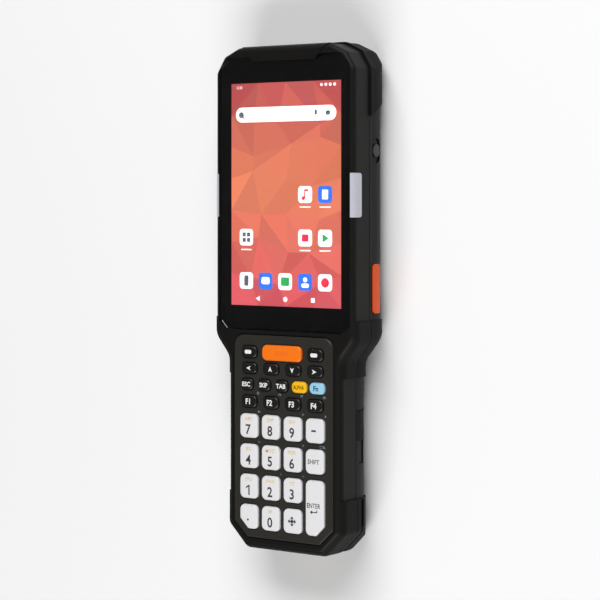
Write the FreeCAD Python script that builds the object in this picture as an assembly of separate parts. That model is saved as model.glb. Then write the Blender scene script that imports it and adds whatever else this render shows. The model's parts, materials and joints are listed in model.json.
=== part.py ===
import FreeCAD, Part
import math
import os

V = FreeCAD.Vector

# Handheld data terminal lying on its back, in millimetres.
# X is across, Y is along the body towards the scanning end, Z is up from the surface it lies on.
# The origin is under the middle of the whole terminal.

# Body outline, seen from the front
head_width = 71.2
handle_width = 58.0
body_length = 210.3
neck_top = -17.0
neck_length = 8.3
top_facet_drop = 10.4
top_facet_run = 11.9
facet_bulge = 2.4
tail_facet_drop = 9.6
tail_facet_run = 9.4

# Body depth
rest_z = 0.0
foot_height = 0.6
foot_trim = 0.02
back_z = rest_z + foot_height
parting_z = 15.3
front_z = 26.5
wall = 2.2
draft = 0.02
seam_height = 0.35
seam_depth = 0.4

# Rounding of the long edges, towards the back and towards the front
head_back_round = 9.0
neck_back_round = 10.5
handle_back_round = 12.5
end_back_round = 5.5
head_front_round = 1.9
handle_front_round = 2.8
end_front_round = 2.2
corner_round = 3.0
neck_round = 7.0
smallest_round = 0.8
shown_angles = (0, 22.5, 45, 67.5, 90)
hidden_angles = (0, 30, 60, 90)
loft_degree = 3

# Rubber bumpers: how far they stand out, and how deep they sit in the housing
bumper_proud = 1.0
bumper_seat = 1.0
bumper_gap = 0.05
top_bumper_reach = 30.0
top_bumper_slant = 8.0
top_bumper_seat_depth = 10.0
neck_bumper_top = -8.8
neck_bumper_bottom = -32.5
tail_bumper_top = -82.4
bumper_back_margin = 2.6

# Brow bar over the top edge of the glass
brow_width = 31.2
brow_ramp = 1.9
brow_top_width = 45.0
brow_lip = 2.1
brow_proud = 0.4
brow_depth = 1.3
brow_above_parting = 0.7

# Glass and display
glass_width = 66.4
glass_length = 114.6
glass_from_top = 4.3
glass_thickness = 1.6
glass_below_rim = 0.5
glass_corner = 4.8
glass_tail_corner = 3.2
glass_corner_round = 1.2
glass_gap = 0.25
glass_edge = 0.3
display_width = 60.0
display_length = 98.0
display_thickness = 2.8
display_from_glass_top = 8.7
display_gap = 0.2
bond_gap = 0.1

# Keypad plate, mat and board
plate_width = 50.4
plate_length = 85.0
plate_from_glass = 2.2
plate_thickness = 1.8
plate_proud = 0.6
plate_gap = 0.4
plate_corner = 4.5
plate_tail_run = 6.7
plate_tail_drop = 6.5
plate_edge = 0.5
plate_tail_round = 1.5
plate_ledge = 1.8
mat_thickness = 0.7
mat_inset = 0.7
board_thickness = 1.2
stack_gap = 0.1

# Keys
column_pitch = 11.22
row_pitch = 12.71
number_key_width = 9.3
number_key_length = 10.15
small_key_width = 8.1
small_key_length = 5.0
arrow_key_length = 4.5
round_key_width = 6.4
round_key_length = 4.8
shift_key_width = 7.6
shift_key_pitch = 8.95
scan_key_width = 20.2
scan_key_length = 6.6
key_corner = 1.9
key_corner_share = 0.4
key_cut_round = 0.9
key_cut_corner = 4.2
key_proud = 1.0
key_gap = 0.25
key_travel = 0.8
key_edge = 0.45
key_flange = 0.5
key_flange_thickness = 0.8
soft_row_from_top = 7.1
arrow_row_from_top = 13.9
shift_row_from_top = 20.7
function_row_from_top = 27.9
number_rows_from_top = 38.15

# Side pieces of the head
light_length = 18.1
light_middle_y = 42.7
light_height = 5.1
light_from_glass = 0.15
light_corner = 1.2
light_gap = 0.05
light_proud = 0.3
scan_button_length = 20.4
scan_button_height = 6.3
scan_button_y = 4.2
scan_button_z = 10.0
scan_button_proud = 0.4
scan_button_corner = 1.6
power_radius = 2.7
power_y = 61.1
power_z = 9.9
power_recess_length = 10.2
power_recess_height = 6.6
power_recess_depth = 0.7
button_gap = 0.2
button_flange = 0.7
button_flange_thickness = 0.9
button_flange_setback = 1.9

# Port and its cover on the handle's right side
port_cover_length = 12.3
port_cover_height = 6.6
port_cover_y = -52.3
port_cover_z = 11.4
port_cover_corner = 0.8
port_cover_thickness = 1.3
port_cover_gap = 0.25
port_hinge_from_end = 0.55
port_hinge_below_surface = 0.5
port_hinge_radius = 0.5
port_pull_length = 9.7
port_pull_height = 5.0
port_pull_depth = 0.5
port_shell_width = 8.9
port_shell_height = 3.3
port_shell_depth = 6.0
port_shell_wall = 0.35
port_tongue_height = 0.7
port_seat_wall = 1.4
port_clearance = 0.1

# Strap slots and trim grooves in the tail bumper
strap_slot_length = 12.0
strap_slot_width = 2.2
strap_slot_depth = 1.7
strap_slot_y = -88.5
strap_slot_z = 11.6
trim_groove_width = 1.2
trim_groove_depth = 0.6
trim_groove_top = -94.0

# Battery bay, battery, door and lock
battery_width = 37.0
battery_length = 62.0
battery_height = 11.0
battery_corner = 1.5
battery_y = -57.0
battery_gap = 0.3
bay_wall = 1.4
door_lap = 1.7
door_thickness = 1.8
door_gap = 0.3
hinge_radius = 1.3
hinge_pin_radius = 0.8
hinge_pin_length = 1.9
hinge_cheek = 3.2
hinge_notch_gap = 1.1
hinge_clearance = 0.06
bay_frame = 1.4
lock_width = 10.0
lock_length = 7.2
lock_base = 1.4
lock_travel = 2.0
lock_base_thickness = 0.8
lock_gap = 0.2
lock_tongue_width = 8.0
lock_tongue_length = 2.3
lock_tongue_thickness = 0.6
lock_from_door = 2.9
lock_step = 0.8
lock_ridge_width = 0.5
lock_ridge_pitch = 1.5

# Scan engine and its window at the top end
window_width = 32.0
window_height = 9.4
window_z = 9.2
window_thickness = 1.5
window_rim = 1.6
window_corner = 1.5
window_gap = 0.1
window_surround = 2.0
engine_width = 22.0
engine_height = 9.6
engine_depth = 12.0
engine_lens_radius = 3.2
engine_lamp_radius = 1.9
engine_lens_length = 1.6
engine_from_window = 1.2
engine_pedestal = 2.0

# Main board, camera, speaker
main_board_width = 54.0
main_board_length = 92.0
main_board_y = 40.0
main_board_z = 16.2
shield_height = 2.4
post_radius = 2.3
post_x = 22.0
post_from_board_end = 8.0
camera_x = 15.0
camera_y = 66.0
camera_size = 9.0
camera_height = 6.0
camera_lens_radius = 3.4
lens_sink = 0.3
speaker_x = -14.0
speaker_y = 66.0
speaker_width = 16.0
speaker_length = 11.0
speaker_height = 4.0
grille_hole_radius = 0.7
grille_pitch = 2.4

# Screws that join the two shells, and the charging contacts at the tail
screw_head_radius = 2.1
screw_head_height = 1.5
screw_radius = 1.0
screw_clearance = 0.05
screw_length = 12.0
screw_sink = 0.25
screw_boss_radius = 2.2
screw_post_margin = 1.1
screw_boss_below_ceiling = 1.7
head_screw_inset = 4.0
head_screw_y = (72.0, 22.0)
handle_screw_inset = 4.1
handle_screw_y = (-40.0, -74.0)
contact_count = 6
contact_pitch = 3.0
contact_width = 1.8
contact_height = 3.6
contact_thickness = 1.0
contact_z = 9.2
contact_window_margin = 2.0

# Heights and places that follow from the sizes above
body_top = body_length / 2
body_bottom = -body_length / 2
head_half = head_width / 2
handle_half = handle_width / 2
neck_bottom = neck_top - neck_length
glass_top_z = front_z - glass_below_rim
glass_back_z = glass_top_z - glass_thickness
glass_seat_z = glass_back_z - bond_gap
glass_top_y = body_top - glass_from_top
glass_bottom_y = glass_top_y - glass_length
display_top_z = glass_back_z - bond_gap
display_top_y = glass_top_y - display_from_glass_top
display_middle_y = display_top_y - display_length / 2
plate_top_z = front_z + plate_proud
plate_back_z = plate_top_z - plate_thickness
plate_top_y = glass_bottom_y - plate_from_glass
plate_bottom_y = plate_top_y - plate_length
key_top_z = plate_top_z + key_proud
flange_top_z = plate_back_z - stack_gap
flange_back_z = flange_top_z - key_flange_thickness
mat_top_z = flange_back_z - key_travel - stack_gap
mat_back_z = mat_top_z - mat_thickness
board_top_z = mat_back_z - stack_gap
ceiling_z = display_top_z - 1.6
door_back_z = back_z
door_front_z = door_back_z + door_thickness
rebate_z = door_front_z + door_gap
battery_back_z = rebate_z + battery_gap
battery_top_z = battery_back_z + battery_height
bay_top_z = battery_top_z + battery_gap
door_half = battery_width / 2 + battery_gap + door_lap
door_top_y = battery_y + battery_length / 2 + battery_gap + bay_wall + door_lap
hinge_y = battery_y - battery_length / 2 - battery_gap - bay_wall - hinge_radius
hinge_z = door_back_z + hinge_radius
brow_back_z = parting_z + brow_above_parting


# Small building blocks

def box(x0, x1, y0, y1, z0, z1):
    """A box between its low and high corners."""
    return Part.makeBox(x1 - x0, y1 - y0, z1 - z0, V(x0, y0, z0))


def mirrored(shape):
    """The same shape on the other side of the middle plane."""
    return shape.mirror(V(0, 0, 0), V(1, 0, 0))


def both_sides(shape):
    """The shape and its mirror image as one compound."""
    return Part.makeCompound([shape, mirrored(shape)])


def rod(radius, length, start, direction):
    """A cylinder from a point along a direction."""
    return Part.makeCylinder(radius, length, start, direction)


def moved_in(points, insets):
    """Corner points of a polygon after each side moves inward by its own distance."""
    lines = []
    for (x0, y0), (x1, y1), inset in zip(points, points[1:] + points[:1], insets):
        length = math.hypot(x1 - x0, y1 - y0)
        ux, uy = (x1 - x0) / length, (y1 - y0) / length
        lines.append((x0 - uy * inset, y0 + ux * inset, ux, uy))
    corners = []
    for (ax, ay, aux, auy), (bx, by, bux, buy) in zip(lines[-1:] + lines[:-1], lines):
        along = ((bx - ax) * buy - (by - ay) * bux) / (aux * buy - auy * bux)
        corners.append((ax + aux * along, ay + auy * along))
    return corners


def rounded_wire(points, radii, z):
    """A closed wire through a polygon's corners, each rounded by a tangent arc."""
    starts, ends, edges = [], [], []
    count = len(points)
    for i, (point, radius) in enumerate(zip(points, radii)):
        corner = V(point[0], point[1], z)
        back = V(*points[i - 1], z).sub(corner).normalize()
        ahead = V(*points[(i + 1) % count], z).sub(corner).normalize()
        if radius <= 0:
            starts.append(corner)
            ends.append(corner)
            continue
        half = math.acos(max(-1.0, min(1.0, back.dot(ahead)))) / 2
        reach = radius / math.tan(half)
        inward = (back + ahead).normalize()
        centre = corner + inward * (radius / math.sin(half))
        starts.append(corner + back * reach)
        ends.append(corner + ahead * reach)
        edges.append((i, Part.Arc(starts[i], centre - inward * radius, ends[i]).toShape()))
    arcs = dict(edges)
    ordered = []
    for i in range(count):
        if i in arcs:
            ordered.append(arcs[i])
        ordered.append(Part.LineSegment(ends[i], starts[(i + 1) % count]).toShape())
    return Part.Wire(ordered)


def prism(points, radii, z0, z1):
    """A rounded polygon drawn out from one height to another."""
    face = Part.Face(rounded_wire(points, radii, z0))
    return face.extrude(V(0, 0, z1 - z0))


def side_prism(points, radii, x0, x1):
    """A rounded polygon given along and up the body, drawn across it."""
    shape = prism(points, radii, x0, x1)
    shape.Placement = FreeCAD.Placement(V(0, 0, 0), FreeCAD.Rotation(V(1, 1, 1), 120))
    return shape


def end_prism(points, radii, y0, y1):
    """A rounded polygon given across and up the body, drawn along it."""
    shape = prism(points, radii, -y1, -y0)
    shape.Placement = FreeCAD.Placement(V(0, 0, 0), FreeCAD.Rotation(V(1, 0, 0), 90))
    return shape


def rectangle(width, length, x=0.0, y=0.0):
    """Corner points of a rectangle, counter-clockwise from its lower left."""
    return [
        (x - width / 2, y - length / 2),
        (x + width / 2, y - length / 2),
        (x + width / 2, y + length / 2),
        (x - width / 2, y + length / 2),
    ]


# Body form

def right_corners():
    """The outline's corners on the right side, from the tail to the top, with their roundings."""
    return [
        ((handle_half - tail_facet_run, body_bottom), corner_round),
        ((handle_half, body_bottom + tail_facet_drop), corner_round),
        ((handle_half, neck_bottom), neck_round),
        ((head_half, neck_top), neck_round),
        ((head_half, body_top - top_facet_drop), corner_round),
        (facet_middle(), corner_round),
        ((head_half - top_facet_run, body_top), corner_round),
    ]


def facet_middle():
    """The corner between the two facets that cut the head's shoulder."""
    run = top_facet_run / 2 - facet_bulge / math.sqrt(2)
    drop = top_facet_drop / 2 - facet_bulge / math.sqrt(2)
    return (head_half - run, body_top - drop)


# Back and front rounding of each side of the outline, in the same order
right_sides = [
    (end_back_round, end_front_round),
    (handle_back_round, handle_front_round),
    (neck_back_round, handle_front_round),
    (head_back_round, head_front_round),
    (end_back_round, head_front_round),
    (end_back_round, head_front_round),
]
end_side = (end_back_round, end_front_round)


def outline():
    """Corner points, corner roundings and side roundings of the whole body outline."""
    right = right_corners()
    points = [p for p, r in right] + [(-p[0], p[1]) for p, r in reversed(right)]
    radii = [r for p, r in right] + [r for p, r in reversed(right)]
    sides = right_sides + [end_side] + right_sides[::-1] + [end_side]
    return points, radii, sides


def turns_left(points, i):
    """True where the outline bulges outward at a corner."""
    x0, y0 = points[i - 1]
    x1, y1 = points[i]
    x2, y2 = points[(i + 1) % len(points)]
    return (x1 - x0) * (y2 - y1) - (y1 - y0) * (x2 - x1) > 0


def edge_inset(radius, distance):
    """How far a rounded edge has drawn in at a distance from the face it rounds into."""
    if radius <= 0 or distance >= radius:
        return 0.0
    return radius - math.sqrt(radius ** 2 - (radius - max(distance, 0.0)) ** 2)


def body_ring(z, grow, base=None, top=None):
    """The body's outline at one height, grown outward, rounded towards a base or a top face."""
    points, radii, sides = outline()
    insets = []
    for back, front in sides:
        inset = draft * abs(z - parting_z) - grow
        if base is not None:
            inset += edge_inset(back + grow, z - base)
        if top is not None:
            inset += edge_inset(front + grow, top - z)
        insets.append(inset)
    corner_radii = []
    for i, radius in enumerate(radii):
        drawn_in = (insets[i - 1] + insets[i]) / 2
        change = -drawn_in if turns_left(points, i) else drawn_in
        corner_radii.append(max(radius + change, smallest_round))
    return rounded_wire(moved_in(points, insets), corner_radii, z)


def rounding_heights(start, radius, angles):
    """Heights at even steps of a quarter circle that begins level and ends upright."""
    return [start + radius * (1 - math.cos(math.radians(a))) for a in angles]


def rear_form(grow, base, angles=shown_angles):
    """The back half of the body, grown outward, with its base face at a given height."""
    heights = rounding_heights(base, handle_back_round + grow, angles)
    rings = [body_ring(z, grow, base=base) for z in heights]
    rounded = Part.makeLoft(rings, True, angles == hidden_angles, False, loft_degree)
    walls = [body_ring(z, grow, base=base) for z in (heights[-1], parting_z)]
    return rounded.fuse(Part.makeLoft(walls, True, True))


def front_form(grow, top):
    """The front half of the body, grown outward, with its front face at a given height."""
    heights = rounding_heights(-top, handle_front_round + grow, reversed(shown_angles))
    heights = [-z for z in heights]
    rounded = Part.makeLoft([body_ring(z, grow, top=top) for z in heights], True, False, False, loft_degree)
    walls = [body_ring(z, grow, top=top) for z in (parting_z, heights[0])]
    return rounded.fuse(Part.makeLoft(walls, True, True))


def grown_prism(points, radii, grow, z0, z1):
    """A rounded polygon drawn out from one height to another, grown outward."""
    corner_radii = []
    for i, radius in enumerate(radii):
        change = grow if turns_left(points, i) else -grow
        corner_radii.append(max(radius + change, smallest_round) if radius > 0 else 0)
    return prism(moved_in(points, [-grow] * len(points)), corner_radii, z0, z1)


def straight_form(grow, z0, z1):
    """The body outline drawn straight up, grown outward."""
    points, radii, sides = outline()
    return grown_prism(points, radii, grow, z0, z1)


# Regions and cutters shared by the shells and what they carry

def side_region(y0, y1, x0):
    """Everything beyond a distance from the middle plane on the right, between two places along the body."""
    return box(x0, head_width, y0, y1, rest_z, front_z + 2)


def tail_region():
    """The space of the tail bumper: both sides of the handle's end and the end itself."""
    inner = door_half + bumper_back_margin
    end_top = hinge_y - hinge_radius - bumper_back_margin
    right = [
        (head_width, body_bottom - 5),
        (head_width, tail_bumper_top),
        (inner, tail_bumper_top),
        (inner, end_top),
    ]
    points = right + [(-x, y) for x, y in reversed(right)]
    return prism(points, [0] * 8, rest_z, front_z + 2)


def neck_region():
    """The space of the right neck bumper."""
    return side_region(neck_bumper_bottom, neck_bumper_top, door_half + bumper_back_margin)


def top_region():
    """The space of the top bumper: the back half of the head's end, with slanted sides."""
    low = body_top - top_bumper_reach
    high = low + top_bumper_slant
    corners = [
        V(-head_width, low, parting_z),
        V(-head_width, high, back_z + bumper_seat),
        V(-head_width, high, rest_z),
        V(-head_width, body_top + 5, rest_z),
        V(-head_width, body_top + 5, parting_z),
    ]
    whole = Part.Face(Part.makePolygon(corners + corners[:1])).extrude(V(2 * head_width, 0, 0))
    return whole.cut(window_prism(window_surround, body_top - top_bumper_seat_depth, body_top + 5))


def bumper(region):
    """A rubber bumper: the skin of the body, grown outward, inside a region."""
    skin = rear_form(bumper_proud, rest_z - foot_trim).fuse(front_form(bumper_proud, front_z))
    core_back = rear_form(-bumper_seat, back_z + bumper_seat, hidden_angles)
    core_front = straight_form(-bumper_seat, parting_z, front_z + 3)
    plate_space = plate_prism(plate_gap, plate_back_z - stack_gap, front_z + 3)
    return skin.common(region).cut([core_back, core_front, plate_space])


def seat(shape, regions):
    """A shell with its skin cut back where the bumpers sit."""
    core_back = rear_form(-bumper_seat - bumper_gap, back_z + bumper_seat + bumper_gap, hidden_angles)
    core_front = straight_form(-bumper_seat - bumper_gap, parting_z, front_z + 3)
    core = core_back.fuse(core_front)
    return shape.cut([region.cut(core) for region in regions])


def window_prism(grow, y0, y1):
    """The scan window's outline drawn along the body, grown outward."""
    points = rectangle(window_width, window_height, 0, window_z)
    points = moved_in(points, [-grow] * 4)
    return end_prism(points, [window_corner] * 4, y0, y1)


def glass_prism(grow, z0, z1):
    """The glass outline drawn upward, grown outward."""
    half = glass_width / 2
    right = [
        (half - glass_tail_corner, glass_bottom_y),
        (half, glass_bottom_y + glass_tail_corner),
        (half, glass_top_y - glass_corner),
        (half - glass_corner, glass_top_y),
    ]
    points = right + [(-x, y) for x, y in reversed(right)]
    return grown_prism(points, [glass_corner_round] * 8, grow, z0, z1)


def plate_prism(grow, z0, z1):
    """The keypad plate's outline drawn upward, grown outward."""
    half = plate_width / 2
    right = [
        (half - plate_tail_run, plate_bottom_y),
        (half, plate_bottom_y + plate_tail_drop),
        (half, plate_top_y),
    ]
    points = right + [(-x, y) for x, y in reversed(right)]
    radii = [plate_tail_round, plate_tail_round, plate_corner]
    return grown_prism(points, radii + radii[::-1], grow, z0, z1)


def brow_prism(grow, z0, z1):
    """The brow bar's outline drawn upward, grown outward."""
    low = glass_top_y - brow_lip
    right = [
        (brow_width / 2, low),
        (brow_width / 2 + brow_ramp, low + brow_ramp),
        (brow_top_width / 2, body_top + brow_proud),
        (brow_top_width / 2, body_top + 5),
    ]
    points = right + [(-x, y) for x, y in reversed(right)]
    return grown_prism(points, [0] * 8, grow, z0, z1)


def light_prism(grow):
    """The right light guide's outline drawn across the body, grown outward."""
    top = front_z + 5
    middle = (front_z - light_height + top) / 2
    points = rectangle(light_length, top - (front_z - light_height), light_middle_y, middle)
    points = moved_in(points, [-grow] * 4)
    x0 = glass_width / 2 + glass_gap + light_from_glass
    radii = [light_corner, light_corner, 0, 0]
    return side_prism(points, radii, x0 - grow, head_width)


def button_prism(width, height, corner, y, z, grow, x0, x1):
    """A rounded rectangle drawn across the body, grown outward."""
    points = moved_in(rectangle(width, height, y, z), [-grow] * 4)
    return side_prism(points, [corner + grow] * 4, x0, x1)


def scan_button_prism(grow, x0, x1):
    """The right scan button's outline drawn across the body, grown outward."""
    return button_prism(scan_button_length, scan_button_height, scan_button_corner,
                        scan_button_y, scan_button_z, grow, x0, x1)


def port_prism(grow, x0, x1):
    """The port cover's outline drawn across the body, grown outward."""
    return button_prism(port_cover_length, port_cover_height, port_cover_corner,
                        port_cover_y, port_cover_z, grow, x0, x1)


def seam(depth, z0):
    """A shallow groove all round the body's outline."""
    ring = straight_form(bumper_proud + 2, z0, z0 + seam_height)
    return ring.cut(straight_form(-depth, z0 - 1, z0 + seam_height + 1))


def screw_places():
    """Where the housing screws stand on the right: across, along, and the height of the head's top."""
    places = []
    for inset, radius, half, rows in (
        (head_screw_inset, head_back_round, head_half, head_screw_y),
        (handle_screw_inset, handle_back_round, handle_half, handle_screw_y),
    ):
        outermost = radius - inset + screw_head_radius
        rise = radius - math.sqrt(radius ** 2 - outermost ** 2)
        places += [(half - inset, y, back_z + rise + screw_sink + screw_head_height) for y in rows]
    return places


def screw_shafts(radius, z1):
    """Rods on the right screws' axes, from their heads up."""
    return [rod(radius, z1 - z, V(x, y, z), V(0, 0, 1)) for x, y, z in screw_places()]


# Keys

def key_places():
    """Every key's name, middle across and along, width, length and cut corner."""
    columns = [(i - 1.5) * column_pitch for i in range(4)]
    rows = [plate_top_y - number_rows_from_top - i * row_pitch for i in range(4)]
    soft_y = plate_top_y - soft_row_from_top
    arrow_y = plate_top_y - arrow_row_from_top
    shift_y = plate_top_y - shift_row_from_top
    function_y = plate_top_y - function_row_from_top
    keys = [
        ("key_soft_left", columns[0], soft_y, small_key_width, small_key_length, None),
        ("key_scan", 0.0, soft_y, scan_key_width, scan_key_length, None),
        ("key_soft_right", columns[3], soft_y, small_key_width, small_key_length, None),
    ]
    for name, x in zip(("left", "up", "down", "right"), columns):
        keys.append(("key_arrow_" + name, x, arrow_y, small_key_width, arrow_key_length, None))
    for i, name in enumerate(("esc", "skip", "tab")):
        x = (i - 2) * shift_key_pitch
        keys.append(("key_" + name, x, shift_y, round_key_width, round_key_length, None))
    for i, name in enumerate(("alpha", "fn")):
        x = (i + 1) * shift_key_pitch
        keys.append(("key_" + name, x, shift_y, shift_key_width, round_key_length, None))
    for i, x in enumerate(columns):
        keys.append((f"key_f{i + 1}", x, function_y, small_key_width, small_key_length, None))
    names = (("7", "8", "9", "minus"), ("4", "5", "6", "shift"), ("1", "2", "3"), ("dot", "0", "cross"))
    for y, row in zip(rows, names):
        for x, name in zip(columns, row):
            cut = "left" if name == "dot" else None
            keys.append(("key_" + name, x, y, number_key_width, number_key_length, cut))
    enter_y = (rows[2] + rows[3]) / 2
    keys.append(("key_enter", columns[3], enter_y, number_key_width, number_key_length + row_pitch, "right"))
    return keys


def key_prism(place, grow, z0, z1):
    """A key's outline drawn upward, grown outward."""
    name, x, y, width, length, cut = place
    points = rectangle(width, length, x, y)
    corner = min(key_corner, length * key_corner_share)
    radii = [corner] * 4
    if cut == "left":
        (x0, y0) = points[0]
        points[0:1] = [(x0, y0 + key_cut_corner), (x0 + key_cut_corner, y0)]
        radii = [key_cut_round, key_cut_round] + radii[1:]
    if cut == "right":
        (x0, y0) = points[1]
        points[1:2] = [(x0 - key_cut_corner, y0), (x0, y0 + key_cut_corner)]
        radii = [corner, key_cut_round, key_cut_round] + radii[2:]
    return grown_prism(points, radii, grow, z0, z1)


def key(place):
    """A key: a cap with an eased top edge on a flange that the plate holds down."""
    cap = key_prism(place, 0, flange_back_z, key_top_z)
    cap = eased_top(cap, key_top_z, key_edge)
    return cap.fuse(key_prism(place, key_flange, flange_back_z, flange_top_z))


def eased_top(shape, z, size):
    """The shape with the edges of its top face chamfered."""
    edges = [e for e in shape.Edges if min(v.Z for v in e.Vertexes) > z - 1e-6]
    return shape.makeChamfer(size, edges)


# Shells

def front_housing():
    """The front shell: a frame with the glass recess, the keypad recess and screw bosses."""
    shell = front_form(0, front_z)
    hollow = [
        straight_form(-wall, parting_z - 1, ceiling_z),
        glass_prism(glass_gap, glass_seat_z, front_z + 3),
        display_box(display_gap, ceiling_z - 1, glass_seat_z + 1),
        plate_prism(plate_gap, plate_back_z - stack_gap, front_z + 3),
        plate_prism(-plate_ledge, ceiling_z - 1, front_z + 3),
        plate_prism(-mat_inset + stack_gap, ceiling_z - 1, mat_top_z + stack_gap),
        brow_seat(),
        light_prism(light_gap),
        mirrored(light_prism(light_gap)),
        seam(seam_depth, parting_z),
    ]
    shell = seat(shell.cut(hollow), [tail_region(), neck_region(), mirrored(neck_region())])
    boss_top = ceiling_z - screw_boss_below_ceiling
    bosses = [rod(screw_boss_radius, boss_top - parting_z, V(x, y, parting_z), V(0, 0, 1))
              for x, y, z in screw_places()]
    bosses = [boss.common(straight_form(-seam_depth * 2, parting_z, boss_top)) for boss in bosses]
    shell = shell.fuse([b for boss in bosses for b in (boss, mirrored(boss))])
    holes = screw_shafts(screw_radius + screw_clearance, boss_top - seam_height)
    return shell.cut([h for hole in holes for h in (hole, mirrored(hole))])


def display_box(grow, z0, z1):
    """The display's outline drawn upward, grown outward."""
    half, middle = display_width / 2 + grow, display_middle_y
    reach = display_length / 2 + grow
    return box(-half, half, middle - reach, middle + reach, z0, z1)


def brow_inner(gap):
    """The space under the brow bar's lip that the frame and the glass keep."""
    return box(-head_width, head_width, 0, body_top - brow_depth - gap, 0, glass_top_z + bond_gap - gap)


def brow_seat():
    """The recess that the brow bar sits in."""
    whole = brow_prism(bumper_gap, brow_back_z - bumper_gap, front_z + 5)
    return whole.cut(brow_inner(bumper_gap))


def bay_boxes():
    """The battery bay's outer walls, its frame round the door, and its inside."""
    half = battery_width / 2 + battery_gap
    y0 = battery_y - battery_length / 2 - battery_gap
    y1 = battery_y + battery_length / 2 + battery_gap
    walls = box(-half - bay_wall, half + bay_wall, y0 - bay_wall, y1 + bay_wall, 0, parting_z)
    frame_half = door_half + bay_frame
    frame = box(-frame_half, frame_half, hinge_y - 2 * hinge_radius - bay_frame,
                lock_top_y() + bay_frame, 0, rebate_z + bay_frame)
    inside = box(-half, half, y0, y1, -1, bay_top_z)
    return walls, frame, inside


def lock_top_y():
    """Where the lock's slide recess ends, above the door."""
    return door_top_y + lock_from_door + lock_length + lock_gap


def door_opening(gap):
    """The space of the battery door and its hinge barrel, grown outward."""
    cheek_x = hinge_barrel_half() + gap
    half = door_half + gap
    notch_y = hinge_y + hinge_radius + gap + (hinge_notch_gap if gap == 0 else 0)
    middle = box(-cheek_x, cheek_x, hinge_y, door_top_y + gap, -1, door_front_z + gap)
    wings = box(-half, half, notch_y, door_top_y + gap, -1, door_front_z + gap)
    barrel = rod(hinge_radius + gap, 2 * cheek_x, V(-cheek_x, hinge_y, hinge_z), V(1, 0, 0))
    mouth = box(-cheek_x, cheek_x, hinge_y - hinge_radius - gap, hinge_y, -1, hinge_z)
    parts = [wings, barrel] + ([mouth] if gap > 0 else [])
    return middle.fuse(parts)


def hinge_barrel_half():
    """Half the length of the door's hinge barrel."""
    return door_half - hinge_cheek


def rear_housing():
    """The back shell: rounded walls, battery bay, posts, and seats for what it carries."""
    outer = rear_form(0, back_z)
    shell = outer.cut(rear_form(-wall, back_z + wall, hidden_angles))
    walls, frame, inside = bay_boxes()
    posts = [rod(screw_head_radius + screw_post_margin, parting_z - back_z, V(x, y, back_z), V(0, 0, 1))
             for x, y, z in screw_places()]
    board_posts = [rod(post_radius, main_board_z - stack_gap - back_z - wall / 2,
                       V(x, y, back_z + wall / 2), V(0, 0, 1)) for x, y in board_post_places()]
    carried = [walls, frame, connector_seat(), engine_pedestal_box()]
    carried += [p for post in posts for p in (post, mirrored(post))]
    shell = shell.fuse([piece.common(outer) for piece in carried] + board_posts)
    holes = [inside, door_opening(door_gap), lock_recess()]
    holes += [h for hole in hinge_pins(hinge_clearance) for h in (hole, mirrored(hole))]
    for x, y, z in screw_places():
        sink = rod(screw_head_radius + button_gap, z + 1, V(x, y, -1), V(0, 0, 1))
        holes += [sink, mirrored(sink)]
    for shaft in screw_shafts(screw_radius + 3 * screw_clearance, parting_z + 1):
        holes += [shaft, mirrored(shaft)]
    holes += [scan_button_prism(button_gap, handle_half, head_width),
              mirrored(scan_button_prism(button_gap, handle_half, head_width)),
              power_hole(), power_recess(), port_pocket(), connector_envelope(port_clearance),
              window_prism(window_gap, body_top - window_thickness - window_gap, body_top + 5),
              window_prism(-window_rim, body_top - 3 * wall, body_top + 5),
              camera_hole(), *grille_holes(), *contact_boxes(port_clearance)]
    return seat(shell.cut(holes), [tail_region(), neck_region(), mirrored(neck_region()), top_region()])


def board_post_places():
    """Where the main board's posts stand."""
    reach = main_board_length / 2 - post_from_board_end
    return [(x, main_board_y + y) for x in (-post_x, post_x) for y in (-reach, reach)]


def engine_pedestal_box():
    """The block that the scan engine stands on."""
    y1 = engine_front_y()
    return box(-engine_width / 2 + engine_pedestal, engine_width / 2 - engine_pedestal,
               y1 - engine_depth + engine_pedestal, y1 - engine_pedestal,
               back_z, window_z - engine_height / 2 - stack_gap)


# Bumpers and bars

def tail_bumper():
    """The rubber boot of the handle's end, with strap slots, trim groove and contact window."""
    body = bumper(tail_region())
    groove = seam(seam_depth - bumper_proud, parting_z)
    return body.cut([both_sides(strap_slot()), trim_groove(), groove, contact_window()])


def strap_slot():
    """The right slot that takes a hand strap's end."""
    slot = button_prism(strap_slot_length, strap_slot_width, strap_slot_width / 2 - 0.01,
                        strap_slot_y, strap_slot_z, 0, door_half, head_width)
    return slot.cut(rear_form(bumper_proud - strap_slot_depth, back_z + strap_slot_depth))


def trim_groove():
    """The groove that runs on from the strap slots round the tail."""
    z0 = strap_slot_z - trim_groove_width / 2
    z1 = strap_slot_z + trim_groove_width / 2
    ring = box(-head_width, head_width, body_bottom - 5, trim_groove_top, z0, z1)
    return ring.cut(rear_form(bumper_proud - trim_groove_depth, back_z))


def contact_window():
    """The opening in the tail bumper over the charging contacts."""
    half = (contact_count - 1) * contact_pitch / 2 + contact_width / 2 + contact_window_margin
    reach = contact_height / 2 + contact_window_margin
    points = rectangle(2 * half, 2 * reach, 0, contact_z)
    return end_prism(points, [contact_window_margin] * 4, body_bottom - 5, body_bottom + wall * 2)


def neck_bumper():
    """The rubber pad on the right of the neck."""
    return bumper(neck_region()).cut(seam(seam_depth - bumper_proud, parting_z))


def top_bumper():
    """The rubber boot round the back of the scanning end."""
    return bumper(top_region())


def brow_bar():
    """The bar over the glass's top edge, bent down over the end."""
    grown = front_form(brow_proud, front_z + brow_proud)
    bar = grown.common(brow_prism(0, brow_back_z, front_z + 5))
    return bar.cut(brow_inner(0))


# Glass and display

def touch_glass():
    """The touch glass with an eased front edge."""
    return eased_top(glass_prism(0, glass_back_z, glass_top_z), glass_top_z, glass_edge)


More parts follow.
